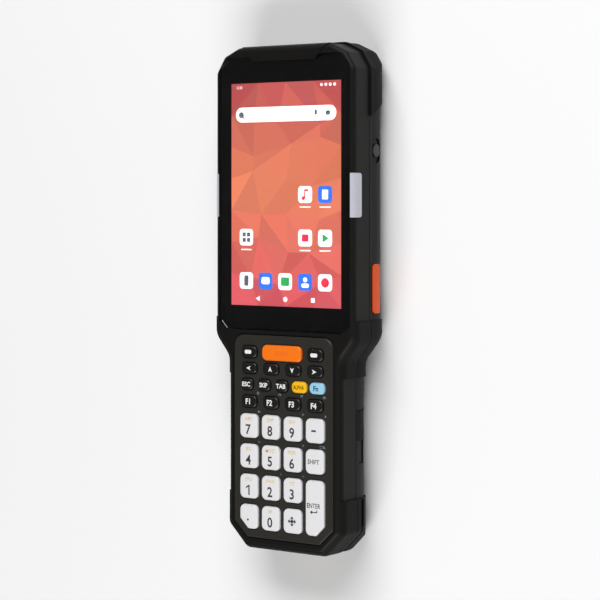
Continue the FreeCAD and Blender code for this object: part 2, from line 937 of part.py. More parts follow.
def display_module():
    """The display behind the glass."""
    return display_box(0, display_top_z - display_thickness, display_top_z)


# Keypad

def keypad_plate():
    """The plate that frames the keys."""
    plate = eased_top(plate_prism(0, plate_back_z, plate_top_z), plate_top_z, plate_edge)
    holes = [key_prism(place, key_gap, plate_back_z - 1, plate_top_z + 1) for place in key_places()]
    return plate.cut(holes)


def keypad_mat():
    """The silicone mat under the keys."""
    return plate_prism(-mat_inset, mat_back_z, mat_top_z)


def keypad_board():
    """The switch board under the mat."""
    return plate_prism(-mat_inset, board_top_z - board_thickness, board_top_z)


# Head's side pieces

def light_guide():
    """The right light guide, wrapped over the frame's front edge."""
    return front_form(light_proud, front_z + light_proud).common(light_prism(0))


def flange_x():
    """Where the flanges of the side buttons meet the inside of the wall."""
    return head_half - wall - button_flange_setback


def scan_button():
    """The right scan button: a cap through the wall with a flange inside."""
    x1 = flange_x()
    cap = scan_button_prism(0, x1 - button_flange_thickness, head_width)
    cap = cap.common(rear_form(scan_button_proud, back_z))
    return cap.fuse(scan_button_prism(button_flange, x1 - button_flange_thickness, x1))


def power_rod(radius, x0, x1):
    """A cylinder on the power button's axis."""
    return rod(radius, x1 - x0, V(x0, power_y, power_z), V(1, 0, 0))


def power_button():
    """The round power button with its flange."""
    x1 = flange_x()
    cap = power_rod(power_radius, x1 - button_flange_thickness, head_width).common(rear_form(0, back_z))
    return cap.fuse(power_rod(power_radius + button_flange, x1 - button_flange_thickness, x1))


def power_hole():
    """The hole that the power button slides in."""
    return power_rod(power_radius + button_gap, handle_half, head_width)


def power_recess():
    """The shallow finger recess round the power button."""
    slot = button_prism(power_recess_length, power_recess_height, power_recess_height / 2 - 0.01,
                        power_y, power_z, 0, handle_half, head_width)
    return slot.cut(rear_form(-power_recess_depth, back_z + power_recess_depth))


# Port

def port_pocket():
    """The recess for the port cover, with a finger pull below it."""
    depth = port_cover_thickness + port_cover_gap
    pocket = port_prism(port_cover_gap, door_half, head_width)
    pocket = pocket.cut(rear_form(-depth, back_z + depth))
    pull_y = port_cover_y - port_cover_length / 2 - port_pull_length / 2
    pull = button_prism(port_pull_length, port_pull_height, port_cover_corner,
                        pull_y, port_cover_z, 0, door_half, head_width)
    pull = pull.cut(rear_form(-port_pull_depth, back_z + port_pull_depth))
    return pocket.fuse(pull)


def port_cover():
    """The cover of the port, a curved skin that follows the wall, with a round bead on its hinge."""
    outer = rear_form(0, back_z).common(port_prism(0, door_half, head_width))
    z0 = port_cover_z - port_cover_height / 2
    hinge_x = handle_half - port_hinge_below_surface
    hinge_end_y = port_cover_y + port_cover_length / 2 - port_hinge_from_end
    bead = rod(port_hinge_radius, port_cover_height, V(hinge_x, hinge_end_y, z0), V(0, 0, 1))
    beyond = box(door_half, head_width, hinge_end_y, hinge_end_y + port_cover_length, z0, parting_z)
    skin = outer.cut(rear_form(-port_cover_thickness, back_z + port_cover_thickness))
    return skin.cut(beyond).fuse(bead.common(outer))


def connector_face_x():
    """Where the connector's mouth opens into the pocket."""
    return battery_width / 2 + battery_gap + bay_wall + port_shell_depth


def connector_envelope(grow):
    """The connector's outer shape drawn across the body, grown outward."""
    x1 = connector_face_x() + (head_half if grow > 0 else 0)
    return button_prism(port_shell_width, port_shell_height, port_shell_height / 2 - 0.01,
                        port_cover_y, port_cover_z, grow, connector_face_x() - port_shell_depth, x1)


def connector_seat():
    """The block in the wall that holds the connector."""
    half_y = port_shell_width / 2 + port_seat_wall
    half_z = port_shell_height / 2 + port_seat_wall
    return box(connector_face_x() - port_shell_depth, head_half, port_cover_y - half_y,
               port_cover_y + half_y, port_cover_z - half_z, port_cover_z + half_z)


def port_connector():
    """The port's metal shell with its contact tongue."""
    x1 = connector_face_x()
    shell = connector_envelope(0)
    mouth = button_prism(port_shell_width, port_shell_height, port_shell_height / 2 - 0.01,
                         port_cover_y, port_cover_z, -port_shell_wall,
                         x1 - port_shell_depth * 0.8, x1 + 1)
    half_y = port_shell_width / 2 - 3 * port_shell_wall - port_tongue_height
    tongue = box(x1 - port_shell_depth, x1 - port_tongue_height, port_cover_y - half_y,
                 port_cover_y + half_y, port_cover_z - port_tongue_height / 2,
                 port_cover_z + port_tongue_height / 2)
    return shell.cut(mouth).fuse(tongue)


# Battery, door and lock

def battery_pack():
    """The battery pack in its bay."""
    points = rectangle(battery_width, battery_length, 0, battery_y)
    pack = prism(points, [battery_corner] * 4, battery_back_z, battery_top_z)
    return pack


def hinge_pins(grow):
    """The right trunnion of the door's hinge, grown outward."""
    start = hinge_barrel_half() - 1
    length = hinge_pin_length + 1 + (hinge_clearance if grow > 0 else 0)
    return [rod(hinge_pin_radius + grow, length, V(start, hinge_y, hinge_z), V(1, 0, 0))]


def battery_door():
    """The battery door: a panel that follows the back, with a hinge barrel and trunnions."""
    panel = rear_form(0, back_z).common(door_opening(0))
    barrel_half = hinge_barrel_half()
    barrel = rod(hinge_radius, 2 * barrel_half, V(-barrel_half, hinge_y, hinge_z), V(1, 0, 0))
    door = panel.fuse([barrel] + hinge_pins(0) + [mirrored(p) for p in hinge_pins(0)])
    return door.cut(lock_notch())


def lock_notch():
    """The step in the door's top edge that the lock's tongue laps."""
    half = lock_tongue_width / 2 + 2 * lock_gap
    depth = lock_travel + lock_gap
    return box(-half, half, door_top_y - depth, door_top_y + 1, -1, door_front_z - lock_step)


def lock_heights():
    """The heights of the lock's outer face, of its base's outer face and of its inner face."""
    outer = back_z + lock_gap
    base = outer + lock_tongue_thickness
    return outer, base, base + lock_base_thickness


def lock_recess():
    """The stepped slot in the housing that the lock slides in."""
    outer, base, inner = lock_heights()
    y0 = door_top_y + lock_from_door - lock_travel - lock_gap
    y1 = lock_top_y()
    half = lock_width / 2 + lock_gap
    mouth = box(-half, half, y0, y1, -1, base + lock_gap)
    slot = box(-half - lock_base, half + lock_base, y0, y1, base - lock_gap, inner + lock_gap)
    tongue = lock_tongue_width / 2 + lock_gap
    way = box(-tongue, tongue, door_top_y, y0 + 1, outer - lock_gap, base + lock_gap)
    return mouth.fuse([slot, way])


def door_lock():
    """The sliding lock of the battery door, with its tongue and finger ridges."""
    outer, base, inner = lock_heights()
    y0 = door_top_y + lock_from_door
    y1 = y0 + lock_length
    half = lock_width / 2
    face = box(-half, half, y0, y1, outer, base)
    plate = box(-half - lock_base, half + lock_base, y0, y1, base, inner)
    tongue = box(-lock_tongue_width / 2, lock_tongue_width / 2, y0 - lock_tongue_length, y0, outer, base)
    ridge_half = half - lock_base
    ridges = [box(-ridge_half, ridge_half, (y0 + y1) / 2 + i * lock_ridge_pitch - lock_ridge_width / 2,
                  (y0 + y1) / 2 + i * lock_ridge_pitch + lock_ridge_width / 2, back_z, outer)
              for i in (-1, 0, 1)]
    return face.fuse([plate, tongue] + ridges)


# Scanning end

def engine_front_y():
    """Where the scan engine's face lies behind its window."""
    return body_top - wall - engine_from_window - engine_lens_length


def scan_window():
    """The window that the scan engine looks through."""
    return window_prism(0, body_top - window_thickness, body_top)


def scan_engine():
    """The scan engine with its lens and two lamps."""
    y1 = engine_front_y()
    body = box(-engine_width / 2, engine_width / 2, y1 - engine_depth, y1,
               window_z - engine_height / 2, window_z + engine_height / 2)
    start = [V(x, y1, window_z) for x in (-engine_width / 3, 0, engine_width / 3)]
    radii = (engine_lamp_radius, engine_lens_radius, engine_lamp_radius)
    lenses = [rod(r, engine_lens_length, s, V(0, 1, 0)) for r, s in zip(radii, start)]
    return body.fuse(lenses)


# Boards and small parts

def main_board():
    """The main board with its shield cans."""
    board = prism(rectangle(main_board_width, main_board_length, 0, main_board_y), [2] * 4,
                  main_board_z, main_board_z + board_thickness)
    top = main_board_z + board_thickness
    third = main_board_length / 3
    can_half = main_board_width / 2 - 2 * shield_height
    cans = [box(-can_half, can_half, main_board_y + (i - 0.4) * third, main_board_y + (i + 0.4) * third,
                top, top + shield_height) for i in (-1, 0, 1)]
    return board.fuse(cans)


def camera_hole():
    """The hole in the back that the camera looks through."""
    return rod(camera_lens_radius + button_gap, wall * 2, V(camera_x, camera_y, -1), V(0, 0, 1))


def rear_camera():
    """The rear camera with its lens tube in the back wall."""
    z0 = back_z + wall + stack_gap
    half = camera_size / 2
    body = box(camera_x - half, camera_x + half, camera_y - half, camera_y + half, z0, z0 + camera_height)
    tube = rod(camera_lens_radius, z0 - back_z - lens_sink, V(camera_x, camera_y, back_z + lens_sink),
               V(0, 0, 1))
    return body.fuse(tube)


def speaker():
    """The loudspeaker behind its grille."""
    z0 = back_z + wall + stack_gap
    points = rectangle(speaker_width, speaker_length, speaker_x, speaker_y)
    return prism(points, [speaker_length / 3] * 4, z0, z0 + speaker_height)


def grille_holes():
    """The rows of holes in the back over the loudspeaker."""
    places = [(speaker_x + i * grille_pitch, speaker_y + j * grille_pitch)
              for i in (-2, -1, 0, 1, 2) for j in (-1, 0, 1)]
    return [rod(grille_hole_radius, wall * 2, V(x, y, -1), V(0, 0, 1)) for x, y in places]


def contact_boxes(grow):
    """The charging contacts at the tail, grown outward."""
    first = -(contact_count - 1) / 2
    y1 = body_bottom + (0.0 if grow == 0 else -1.0)
    return [box((first + i) * contact_pitch - contact_width / 2 - grow,
                (first + i) * contact_pitch + contact_width / 2 + grow,
                y1, body_bottom + contact_thickness + grow,
                contact_z - contact_height / 2 - grow, contact_z + contact_height / 2 + grow)
            for i in range(contact_count)]


def charging_contacts():
    """The row of charging contacts as one group."""
    return Part.makeCompound(contact_boxes(0))


def housing_screws():
    """The screws that join the shells, as one group."""
    screws = []
    for x, y, z in screw_places():
        head = rod(screw_head_radius, screw_head_height, V(x, y, z - screw_head_height), V(0, 0, 1))
        screw = head.fuse(rod(screw_radius, screw_length, V(x, y, z), V(0, 0, 1)))
        screws += [screw, mirrored(screw)]
    return Part.makeCompound(screws)


def nodes():
    """Every piece of the terminal under its name."""
    neck = neck_bumper()
    light = light_guide()
    button = scan_button()
    pieces = {
        "front_housing": front_housing(),
        "rear_housing": rear_housing(),
        "top_bumper": top_bumper(),
        "brow_bar": brow_bar(),
        "neck_bumper_right": neck,
        "neck_bumper_left": mirrored(neck),
        "tail_bumper": tail_bumper(),
        "touch_glass": touch_glass(),
        "display_module": display_module(),
        "keypad_plate": keypad_plate(),
        "keypad_mat": keypad_mat(),
        "keypad_board": keypad_board(),
        "main_board": main_board(),
        "scan_engine": scan_engine(),
        "scan_window": scan_window(),
        "battery_pack": battery_pack(),
        "battery_door": battery_door(),
        "door_lock": door_lock(),
        "light_guide_right": light,
        "light_guide_left": mirrored(light),
        "scan_button_right": button,
        "scan_button_left": mirrored(button),
        "power_button": power_button(),
        "port_cover": port_cover(),
        "port_connector": port_connector(),
        "rear_camera": rear_camera(),
        "speaker": speaker(),
        "charging_contacts": charging_contacts(),
        "housing_screws": housing_screws(),
    }
    for place in key_places():
        pieces[place[0]] = key(place)
    return pieces


def main():
    """Writes every piece as a STEP file."""
    os.makedirs("parts", exist_ok=True)
    for name, shape in nodes().items():
        print(name, shape.isValid(), len(shape.Solids), round(shape.Volume, 1))
        shape.exportStep(f"parts/{name}.step")


main()
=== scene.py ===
import json
import math

import bpy
import numpy as np
from mathutils import Matrix, Vector


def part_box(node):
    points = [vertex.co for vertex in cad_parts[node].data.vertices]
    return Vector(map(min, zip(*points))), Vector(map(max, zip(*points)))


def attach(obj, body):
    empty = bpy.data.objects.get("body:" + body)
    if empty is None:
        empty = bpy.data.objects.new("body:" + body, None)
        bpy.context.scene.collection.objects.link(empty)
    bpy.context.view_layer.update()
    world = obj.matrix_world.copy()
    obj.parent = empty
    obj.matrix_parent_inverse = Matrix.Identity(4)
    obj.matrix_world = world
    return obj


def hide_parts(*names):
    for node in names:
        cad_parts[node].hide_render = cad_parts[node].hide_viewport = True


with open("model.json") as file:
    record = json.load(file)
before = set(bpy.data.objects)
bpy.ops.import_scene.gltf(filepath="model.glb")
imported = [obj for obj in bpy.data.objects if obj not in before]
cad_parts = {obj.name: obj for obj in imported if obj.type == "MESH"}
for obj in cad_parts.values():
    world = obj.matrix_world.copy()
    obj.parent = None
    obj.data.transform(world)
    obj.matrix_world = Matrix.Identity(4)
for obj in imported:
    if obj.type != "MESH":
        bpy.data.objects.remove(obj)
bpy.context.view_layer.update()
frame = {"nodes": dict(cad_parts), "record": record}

bl_info = {
    "name": "Barcode data terminal",
    "version": (1, 0, 0),
    "blender": (4, 5, 0),
    "location": "View3D > Sidebar > Terminal",
    "description": "Dresses a handheld barcode data terminal in its real surfaces and materials",
    "category": "Object",
}

MM = 0.001


# Colours

def linear(code):
    """An sRGB hex code as opaque linear light: each channel divided by 255, then through the sRGB curve."""
    channels = np.array([int(code[i:i + 2], 16) for i in (0, 2, 4)]) / 255
    light = np.where(channels <= 0.04045, channels / 12.92, ((channels + 0.055) / 1.055) ** 2.4)
    return (*light.tolist(), 1.0)


def colour_property(name, description, code):
    """A colour that a user can change, given as an sRGB hex code."""
    return bpy.props.FloatVectorProperty(name=name, description=description, subtype="COLOR",
                                         size=4, min=0, max=1, default=linear(code))


def length_property(name, description, millimetres):
    """A length that a user can change, given in millimetres."""
    return bpy.props.FloatProperty(name=name, description=description, unit="LENGTH",
                                   default=millimetres * MM, min=0, precision=5)


class TerminalColours(bpy.types.PropertyGroup):
    """Colours of the terminal's materials."""
    housing: colour_property("Housing", "Moulded plastic of both shells", "171615")
    bumper: colour_property("Bumpers", "Soft rubber at the ends and the neck", "141312")
    plate: colour_property("Keypad plate", "Satin plate round the keys", "2E2C28")
    light_key: colour_property("Light keys", "Number keys, enter, shift and minus", "E9E8EA")
    dark_key: colour_property("Dark keys", "Soft, arrow, function, esc, skip and tab keys", "161615")
    scan_key: colour_property("Scan key", "The wide key over the others", "FF7A14")
    side_button: colour_property("Side buttons", "Scan buttons on both sides", "E6520F")
    alpha_key: colour_property("Alpha key", "Yellow shift key", "FFC21A")
    fn_key: colour_property("Function key", "Blue shift key", "9CD3EC")
    light_guide: colour_property("Light guides", "Milky bars beside the screen", "C4C4CE")
    dark_legend: colour_property("Dark legends", "Print on the light keys", "39383A")
    pale_legend: colour_property("Pale legends", "Print on the dark keys", "F2F2F2")
    gold_legend: colour_property("Yellow legends", "Small letters on the number keys", "E6CC86")
    blue_legend: colour_property("Blue legends", "Small marks on the plate", "8FA6BC")
    screen_top: colour_property("Picture, top", "Darkest red of the screen's picture", "C04850")
    screen_middle: colour_property("Picture, middle", "Orange of the screen's picture", "F4875F")
    screen_tail: colour_property("Picture, tail", "Pink of the screen's picture", "E0505F")
    floor: colour_property("Floor", "Plain pale floor", "FAFAFA")


class TerminalSizes(bpy.types.PropertyGroup):
    """Sizes of the details that the terminal gets here."""
    key_edge: length_property("Key edge", "Radius of the rounded rim of a key's top", 0.75)
    key_crown: length_property("Key crown", "How far a key's middle stands over its rim", 0.12)
    key_corner: length_property("Key corner", "Corner radius of a number key", 2.3)
    print_thickness: length_property("Print thickness", "Thickness of printed legends", 0.02)
    screen_width: length_property("Screen width", "Width of the lit area", 56.16)
    screen_length: length_property("Screen length", "Length of the lit area", 93.6)
    screen_top_margin: length_property("Screen top margin", "From the glass's edge to the lit area", 10.95)
    grain: length_property("Housing grain", "Size of the moulded texture's grains", 0.35)


# Nodes and materials

def add(tree, kind, inputs=None, **settings):
    """Adds a shader node, sets its settings, and sets or links its inputs."""
    shader = tree.nodes.new(kind)
    for key, value in settings.items():
        setattr(shader, key, value)
    for key, value in (inputs or {}).items():
        socket = shader.inputs[key]
        if isinstance(value, bpy.types.NodeSocket):
            tree.links.new(value, socket)
        else:
            socket.default_value = value
    return shader


def blank_material(name):
    """An empty material with its output, and its node tree."""
    material = bpy.data.materials.get(name) or bpy.data.materials.new(name)
    material.use_nodes = True
    material.node_tree.nodes.clear()
    return material, material.node_tree


def finish_material(tree, shader):
    """Joins a shader to the material's output."""
    add(tree, "ShaderNodeOutputMaterial", {"Surface": shader.outputs[0]})


def mottled(tree, colour, size, spread):
    """A colour that drifts a little lighter and darker over patches of the given size."""
    place = add(tree, "ShaderNodeTexCoord")
    noise = add(tree, "ShaderNodeTexNoise", {"Vector": place.outputs["Object"], "Scale": 1 / size,
                                             "Detail": 3, "Roughness": 0.55})
    low = [c * (1 - spread) for c in colour[:3]] + [1]
    high = [min(c * (1 + spread), 1) for c in colour[:3]] + [1]
    return add(tree, "ShaderNodeMix", {0: noise.outputs[0], 6: low, 7: high}, data_type="RGBA").outputs[2]


def grainy(tree, size, depth):
    """A bump of fine grains of the given size and depth."""
    place = add(tree, "ShaderNodeTexCoord")
    noise = add(tree, "ShaderNodeTexNoise", {"Vector": place.outputs["Object"], "Scale": 1 / size,
                                             "Detail": 2, "Roughness": 0.6})
    bump = add(tree, "ShaderNodeBump", {"Height": noise.outputs[0], "Distance": depth, "Strength": 1})
    return bump.outputs[0]


def moulded_plastic(name, colour, roughness, grain, depth, patch=9 * MM, spread=0.08, coat=0.0, ior=1.5,
                    specular=0.5):
    """A moulded plastic: a slightly uneven colour, and a bump of fine grains from the mould's texture."""
    material, tree = blank_material(name)
    shader = add(tree, "ShaderNodeBsdfPrincipled", {
        "Base Color": mottled(tree, colour, patch, spread), "Roughness": roughness, "IOR": ior,
        "Specular IOR Level": specular, "Coat Weight": coat, "Coat Roughness": 0.2,
        "Normal": grainy(tree, grain, depth)})
    finish_material(tree, shader)
    return material


def printed_ink(name, colour, glow=0.0, specular=0.5):
    """Screen-printed ink: an even, thin, satin film whose density varies very slightly."""
    material, tree = blank_material(name)
    tint = mottled(tree, colour, 0.6 * MM, 0.05)
    shader = add(tree, "ShaderNodeBsdfPrincipled", {"Base Color": tint, "Roughness": 0.55,
                                                    "Specular IOR Level": specular})
    if glow:
        tree.links.new(tint, shader.inputs["Emission Color"])
        shader.inputs["Emission Strength"].default_value = glow
    finish_material(tree, shader)
    return material


METAL_STREAK = 0.25 * MM
METAL_UNEVEN = 0.3


def worked_metal(name, colour, roughness):
    """A plated or drawn metal: its roughness varies in fine streaks along the body."""
    material, tree = blank_material(name)
    place = add(tree, "ShaderNodeTexCoord")
    drawn_out = add(tree, "ShaderNodeMapping", {"Vector": place.outputs["Object"], "Scale": (1, 0.05, 1)})
    noise = add(tree, "ShaderNodeTexNoise", {"Vector": drawn_out.outputs[0], "Scale": 1 / METAL_STREAK,
                                             "Detail": 2})
    rough = add(tree, "ShaderNodeMapRange", {"Value": noise.outputs[0],
                                             "To Min": roughness * (1 - METAL_UNEVEN),
                                             "To Max": roughness * (1 + METAL_UNEVEN)})
    shader = add(tree, "ShaderNodeBsdfPrincipled", {"Base Color": colour, "Metallic": 1,
                                                    "Roughness": rough.outputs[0]})
    finish_material(tree, shader)
    return material


# Meshes

def new_piece(name, points, faces, material, body, replaced=(), smooth_angle=None):
    """A mesh object that rides on a CAD body and may stand for CAD nodes."""
    mesh = bpy.data.meshes.new(name)
    mesh.from_pydata(points.tolist(), [], faces.tolist() if isinstance(faces, np.ndarray) else faces)
    mesh.update()
    return finish_piece(name, mesh, material, body, replaced, smooth_angle)


def finish_piece(name, mesh, material, body, replaced=(), smooth_angle=None):
    """Links a mesh as an object with its material, body, and the CAD nodes it stands for."""
    piece = bpy.data.objects.new(name, mesh)
    bpy.context.scene.collection.objects.link(piece)
    mesh.materials.clear()
    mesh.materials.append(material)
    if smooth_angle is not None:
        mesh.shade_smooth()
        mesh.set_sharp_from_angle(angle=math.radians(smooth_angle))
    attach(piece, body)
    if replaced:
        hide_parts(*replaced)
    return piece


def body_of_node(node):
    """The name of the CAD body that holds a node."""
    bodies = frame["record"]["behaviour"]["bodies"]
    return next(body for body, nodes in bodies.items() if node in nodes)


def slot_of_node(node):
    """The record's material slot of a node."""
    return next(part["material_slot"] for part in frame["record"]["subparts"] if part["node"] == node)


WELD_GRID = 1e-6
SHELL_SHARP_ANGLE = 28


def welded_copy(node, material):
    """A copy of a CAD node whose loose triangles share their corners, so that its curves shade smoothly.

    Corners that fall on one point of a micrometre's grid become one. Edges sharper than the angle stay
    sharp, and each corner's normal leans to the largest faces round it, which keeps the flats flat.
    """
    source = frame["nodes"][node].data
    points = np.empty(len(source.vertices) * 3, np.float32)
    source.vertices.foreach_get("co", points)
    source.calc_loop_triangles()
    corners = np.empty(len(source.loop_triangles) * 3, np.int32)
    source.loop_triangles.foreach_get("vertices", corners)
    points = points.reshape(-1, 3)
    keys, where = np.unique(np.round(points / WELD_GRID).astype(np.int64), axis=0, return_inverse=True)
    faces = where.reshape(-1)[corners.reshape(-1, 3)]
    whole = (faces[:, 0] != faces[:, 1]) & (faces[:, 1] != faces[:, 2]) & (faces[:, 2] != faces[:, 0])
    piece = new_piece(node + "_shell", keys * WELD_GRID, faces[whole], material, body_of_node(node),
                      (node,), SHELL_SHARP_ANGLE)
    lean = piece.modifiers.new("Lean to large faces", "WEIGHTED_NORMAL")
    lean.keep_sharp = True
    lean.weight = 100
    return piece


def dress(node, material):
    """Gives a CAD node a material in every slot."""
    mesh = frame["nodes"][node].data
    if not mesh.materials:
        mesh.materials.append(material)
    for i in range(len(mesh.materials)):
        mesh.materials[i] = material


def grid_faces(rows, columns, wrap):
    """Faces of a grid of points: each point joined to the next in its row and column."""
    r, c = np.meshgrid(np.arange(rows - 1), np.arange(columns if wrap else columns - 1), indexing="ij")
    a = r * columns + c
    b = r * columns + (c + 1) % columns
    return np.stack([a, b, b + columns, a + columns], -1).reshape(-1, 4)


def rounded_outline(corners, radii, steps=6, along=3):
    """Points and outward normals round a polygon whose corners are arcs.

    Each corner's arc touches its two sides and turns from one side's normal to the next in even steps;
    the straight runs between arcs are split evenly.
    """
    corners = np.asarray(corners, float)
    radii = np.asarray(radii, float)
    before = corners - np.roll(corners, 1, 0)
    after = np.roll(corners, -1, 0) - corners
    before /= np.linalg.norm(before, axis=1, keepdims=True)
    after /= np.linalg.norm(after, axis=1, keepdims=True)
    n0 = np.stack([before[:, 1], -before[:, 0]], -1)
    n1 = np.stack([after[:, 1], -after[:, 0]], -1)
    turn = np.arctan2(before[:, 0] * after[:, 1] - before[:, 1] * after[:, 0], (before * after).sum(1))
    reach = radii * np.tan(turn / 2)
    middle = corners - before * reach[:, None] - n0 * radii[:, None]
    angle = turn[:, None] * np.linspace(0, 1, steps + 1)[None, :]
    cos, sin = np.cos(angle)[..., None], np.sin(angle)[..., None]
    sideways = np.stack([-n0[:, 1], n0[:, 0]], -1)
    normals = n0[:, None, :] * cos + sideways[:, None, :] * sin
    arcs = middle[:, None, :] + normals * radii[:, None, None]
    start = arcs[:, -1, :]
    end = np.roll(arcs[:, 0, :], -1, 0)
    share = (np.arange(1, along) / along)[None, :, None]
    runs = start[:, None, :] * (1 - share) + end[:, None, :] * share
    run_normals = np.repeat(n1[:, None, :], along - 1, axis=1)
    points = np.concatenate([arcs, runs], 1).reshape(-1, 2)
    normals = np.concatenate([normals, run_normals], 1).reshape(-1, 2)
    return points, normals


def rectangle(x, y, width, length):
    """The four corners of a rectangle round a middle, turning left."""
    return [(x - width / 2, y - length / 2), (x + width / 2, y - length / 2),
            (x + width / 2, y + length / 2), (x - width / 2, y + length / 2)]


def carried_profile(outline, normals, centre, profile):
    """A closed surface: a profile carried round an outline.

    Each profile row is (share, offset, height): the outline is moved out along its normals by the
    offset, then drawn towards the centre to that share of its distance. Rows with share 0 are poles.
    """
    rows = []
    for share, offset, height in profile:
        flat = centre + (outline + normals * offset - centre) * share
        rows.append(np.column_stack([flat, np.full(len(flat), height)]))
    inner = rows[1:-1]
    count = len(outline)
    points = np.concatenate([rows[0][:1]] + inner + [rows[-1][:1]])
    quads = grid_faces(len(inner), count, True) + 1
    ring = np.arange(count)
    following = (ring + 1) % count
    top = np.stack([np.zeros(count, int), 1 + following, 1 + ring], -1)
    last = 1 + (len(inner) - 1) * count
    end = len(points) - 1
    tail = np.stack([np.full(count, end), last + ring, last + following], -1)
    faces = top[:, ::-1].tolist() + quads[:, ::-1].tolist() + tail[:, ::-1].tolist()
    return points, faces


def text_points(words, size, bold=0.0):
    """The triangles of a line of generic lettering, laid flat round its middle.

    The built-in letters are drawn at the given height, made a mesh, and read back as arrays.
    """
    curve = bpy.data.curves.new("letters", "FONT")
    curve.body = words
    curve.size = size
    curve.align_x = "CENTER"
    curve.align_y = "CENTER"
    curve.offset = bold
    curve.resolution_u = 3
    holder = bpy.data.objects.new("letters", curve)
    bpy.context.scene.collection.objects.link(holder)
    bpy.context.view_layer.update()
    mesh = bpy.data.meshes.new_from_object(holder.evaluated_get(bpy.context.evaluated_depsgraph_get()))
    points = np.empty(len(mesh.vertices) * 3)
    mesh.vertices.foreach_get("co", points)
    faces = [tuple(p.vertices) for p in mesh.polygons]
    bpy.data.objects.remove(holder)
    bpy.data.curves.remove(curve)
    bpy.data.meshes.remove(mesh)
    return points.reshape(-1, 3)[:, :2], faces


def printed(name, outlines, z, material, slot, thickness):
    """Thin print on the root body: each outline is a flat face at height z, thickened upward to a film."""
    points = np.concatenate([np.asarray(o, float) for o in outlines])
    starts = np.cumsum([0] + [len(o) for o in outlines])
    faces = [list(range(a, b)) for a, b in zip(starts[:-1], starts[1:])]
    return printed_faces(name, points, faces, z, material, "root", slot, thickness)


def printed_faces(name, points, faces, z, material, body="root", slot=None, thickness=0.02 * MM):
    """Thin print from flat points and faces, thickened upward from height z."""
    piece = new_piece(name, np.column_stack([points, np.full(len(points), z)]), faces, material, body)
    film = piece.modifiers.new("Film", "SOLIDIFY")
    film.thickness = thickness
    film.offset = 1
    return piece


def words(text, x, y, height, squeeze=0.86, bold=0.0):
    """A line of lettering of the given height round a middle, drawn a little narrow."""
    points, faces = text_points(text, 1.0, bold)
    tall = text_points("8", 1.0, bold)[0][:, 1]
    points = points - (points.min(0) + points.max(0)) / 2
    points = points * (height / (tall.max() - tall.min())) * np.array([squeeze, 1])
    return points + np.array([x, y]), faces


def joined(parts):
    """Several lots of flat points and faces as one."""
    points, faces, count = [], [], 0
    for lot, lot_faces in parts:
        points.append(np.asarray(lot, float))
        faces += [tuple(i + count for i in face) for face in lot_faces]
        count += len(lot)
    return np.concatenate(points), faces


def shape(outline):
    """One outline as flat points and a face that looks up: an outline that turns right is reversed."""
    outline = np.asarray(outline, float)
    following = np.roll(outline, -1, 0)
    area = (outline[:, 0] * following[:, 1] - outline[:, 1] * following[:, 0]).sum()
    return outline[::-1] if area < 0 else outline, [tuple(range(len(outline)))]


def tile(x, y, width, length, radius):
    """A rounded rectangle as flat points and a face."""
    return shape(rounded_outline(rectangle(x, y, width, length), [radius] * 4, 5, 1)[0])


def disc(x, y, radius, count=24):
    """A circle as flat points and a face."""
    turn = np.linspace(0, 2 * np.pi, count, endpoint=False)
    return shape(np.column_stack([x + radius * np.cos(turn), y + radius * np.sin(turn)]))


def stroke(points, width):
    """A line of even width through a few points, with square ends, as flat points and faces."""
    points = np.asarray(points, float)
    run = np.diff(points, axis=0)
    run /= np.linalg.norm(run, axis=1, keepdims=True)
    side = np.column_stack([-run[:, 1], run[:, 0]])
    mean = np.concatenate([side[:1], side[:-1] + side[1:], side[-1:]])
    mean /= np.linalg.norm(mean, axis=1, keepdims=True)
    lean = np.concatenate([side[:1], side])
    mean /= (mean * lean).sum(1)[:, None]
    return shape(np.concatenate([points + mean * width / 2, (points - mean * width / 2)[::-1]]))


def turned(lot, x, y, quarter):
    """Flat points turned by quarter turns about the origin, then moved."""
    points, faces = lot
    angle = quarter * np.pi / 2
    spin = np.array([[np.cos(angle), np.sin(angle)], [-np.sin(angle), np.cos(angle)]])
    return points @ spin + np.array([x, y]), faces


def arrowhead(x, y, reach, quarter):
    """A barbed arrowhead that points right, turned by quarter turns."""
    barbed = shape([(reach, 0), (-reach, 0.85 * reach), (-0.45 * reach, 0), (-reach, -0.85 * reach)])
    return turned(barbed, x, y, quarter)


# Keys

KEY_FLANGE = 0.5 * MM
KEY_FLANGE_THICKNESS = 0.8 * MM
KEY_CUT = 4.2 * MM
KEY_CUT_ROUND = 0.9 * MM
SHORT_KEY_CORNER = 0.42
CAP_SHARP_ANGLE = 40
PRINT_SUNK = 0.01 * MM

# Sizes of the legends: heights, how far they are drawn wider or narrower, and how bold they are
NUMBER_HEIGHT = 4.2 * MM
NUMBER_DROP = 1.5 * MM
NUMBER_BOLD = 0.016
LETTERS_HEIGHT = 1.45 * MM
LETTERS_RISE = 2.9 * MM
LETTERS_BOLD = 0.008
WORD_HEIGHT = 2.0 * MM
WORD_BOLD = 0.03
FUNCTION_HEIGHT = 2.5 * MM
ARROW_REACH = 1.15 * MM
SOFT_MARK = (3.4 * MM, 1.6 * MM, 0.6 * MM)
MINUS_MARK = (2.3 * MM, 0.75 * MM, 0.2 * MM)
DOT_RADIUS = 0.45 * MM
DOT_DROP = 1.3 * MM
LIGHT_KEYS = {"key_" + n for n in ("0", "1", "2", "3", "4", "5", "6", "7", "8", "9",
                                   "dot", "minus", "enter", "cross", "shift")}
SMALL_LETTERS = {"7": "ABC", "8": "DEF", "9": "GHI", "4": "JKL", "5": "MNO", "6": "PQR",
                 "1": "STU", "2": "VWX", "3": "YZ", "0": "SP"}


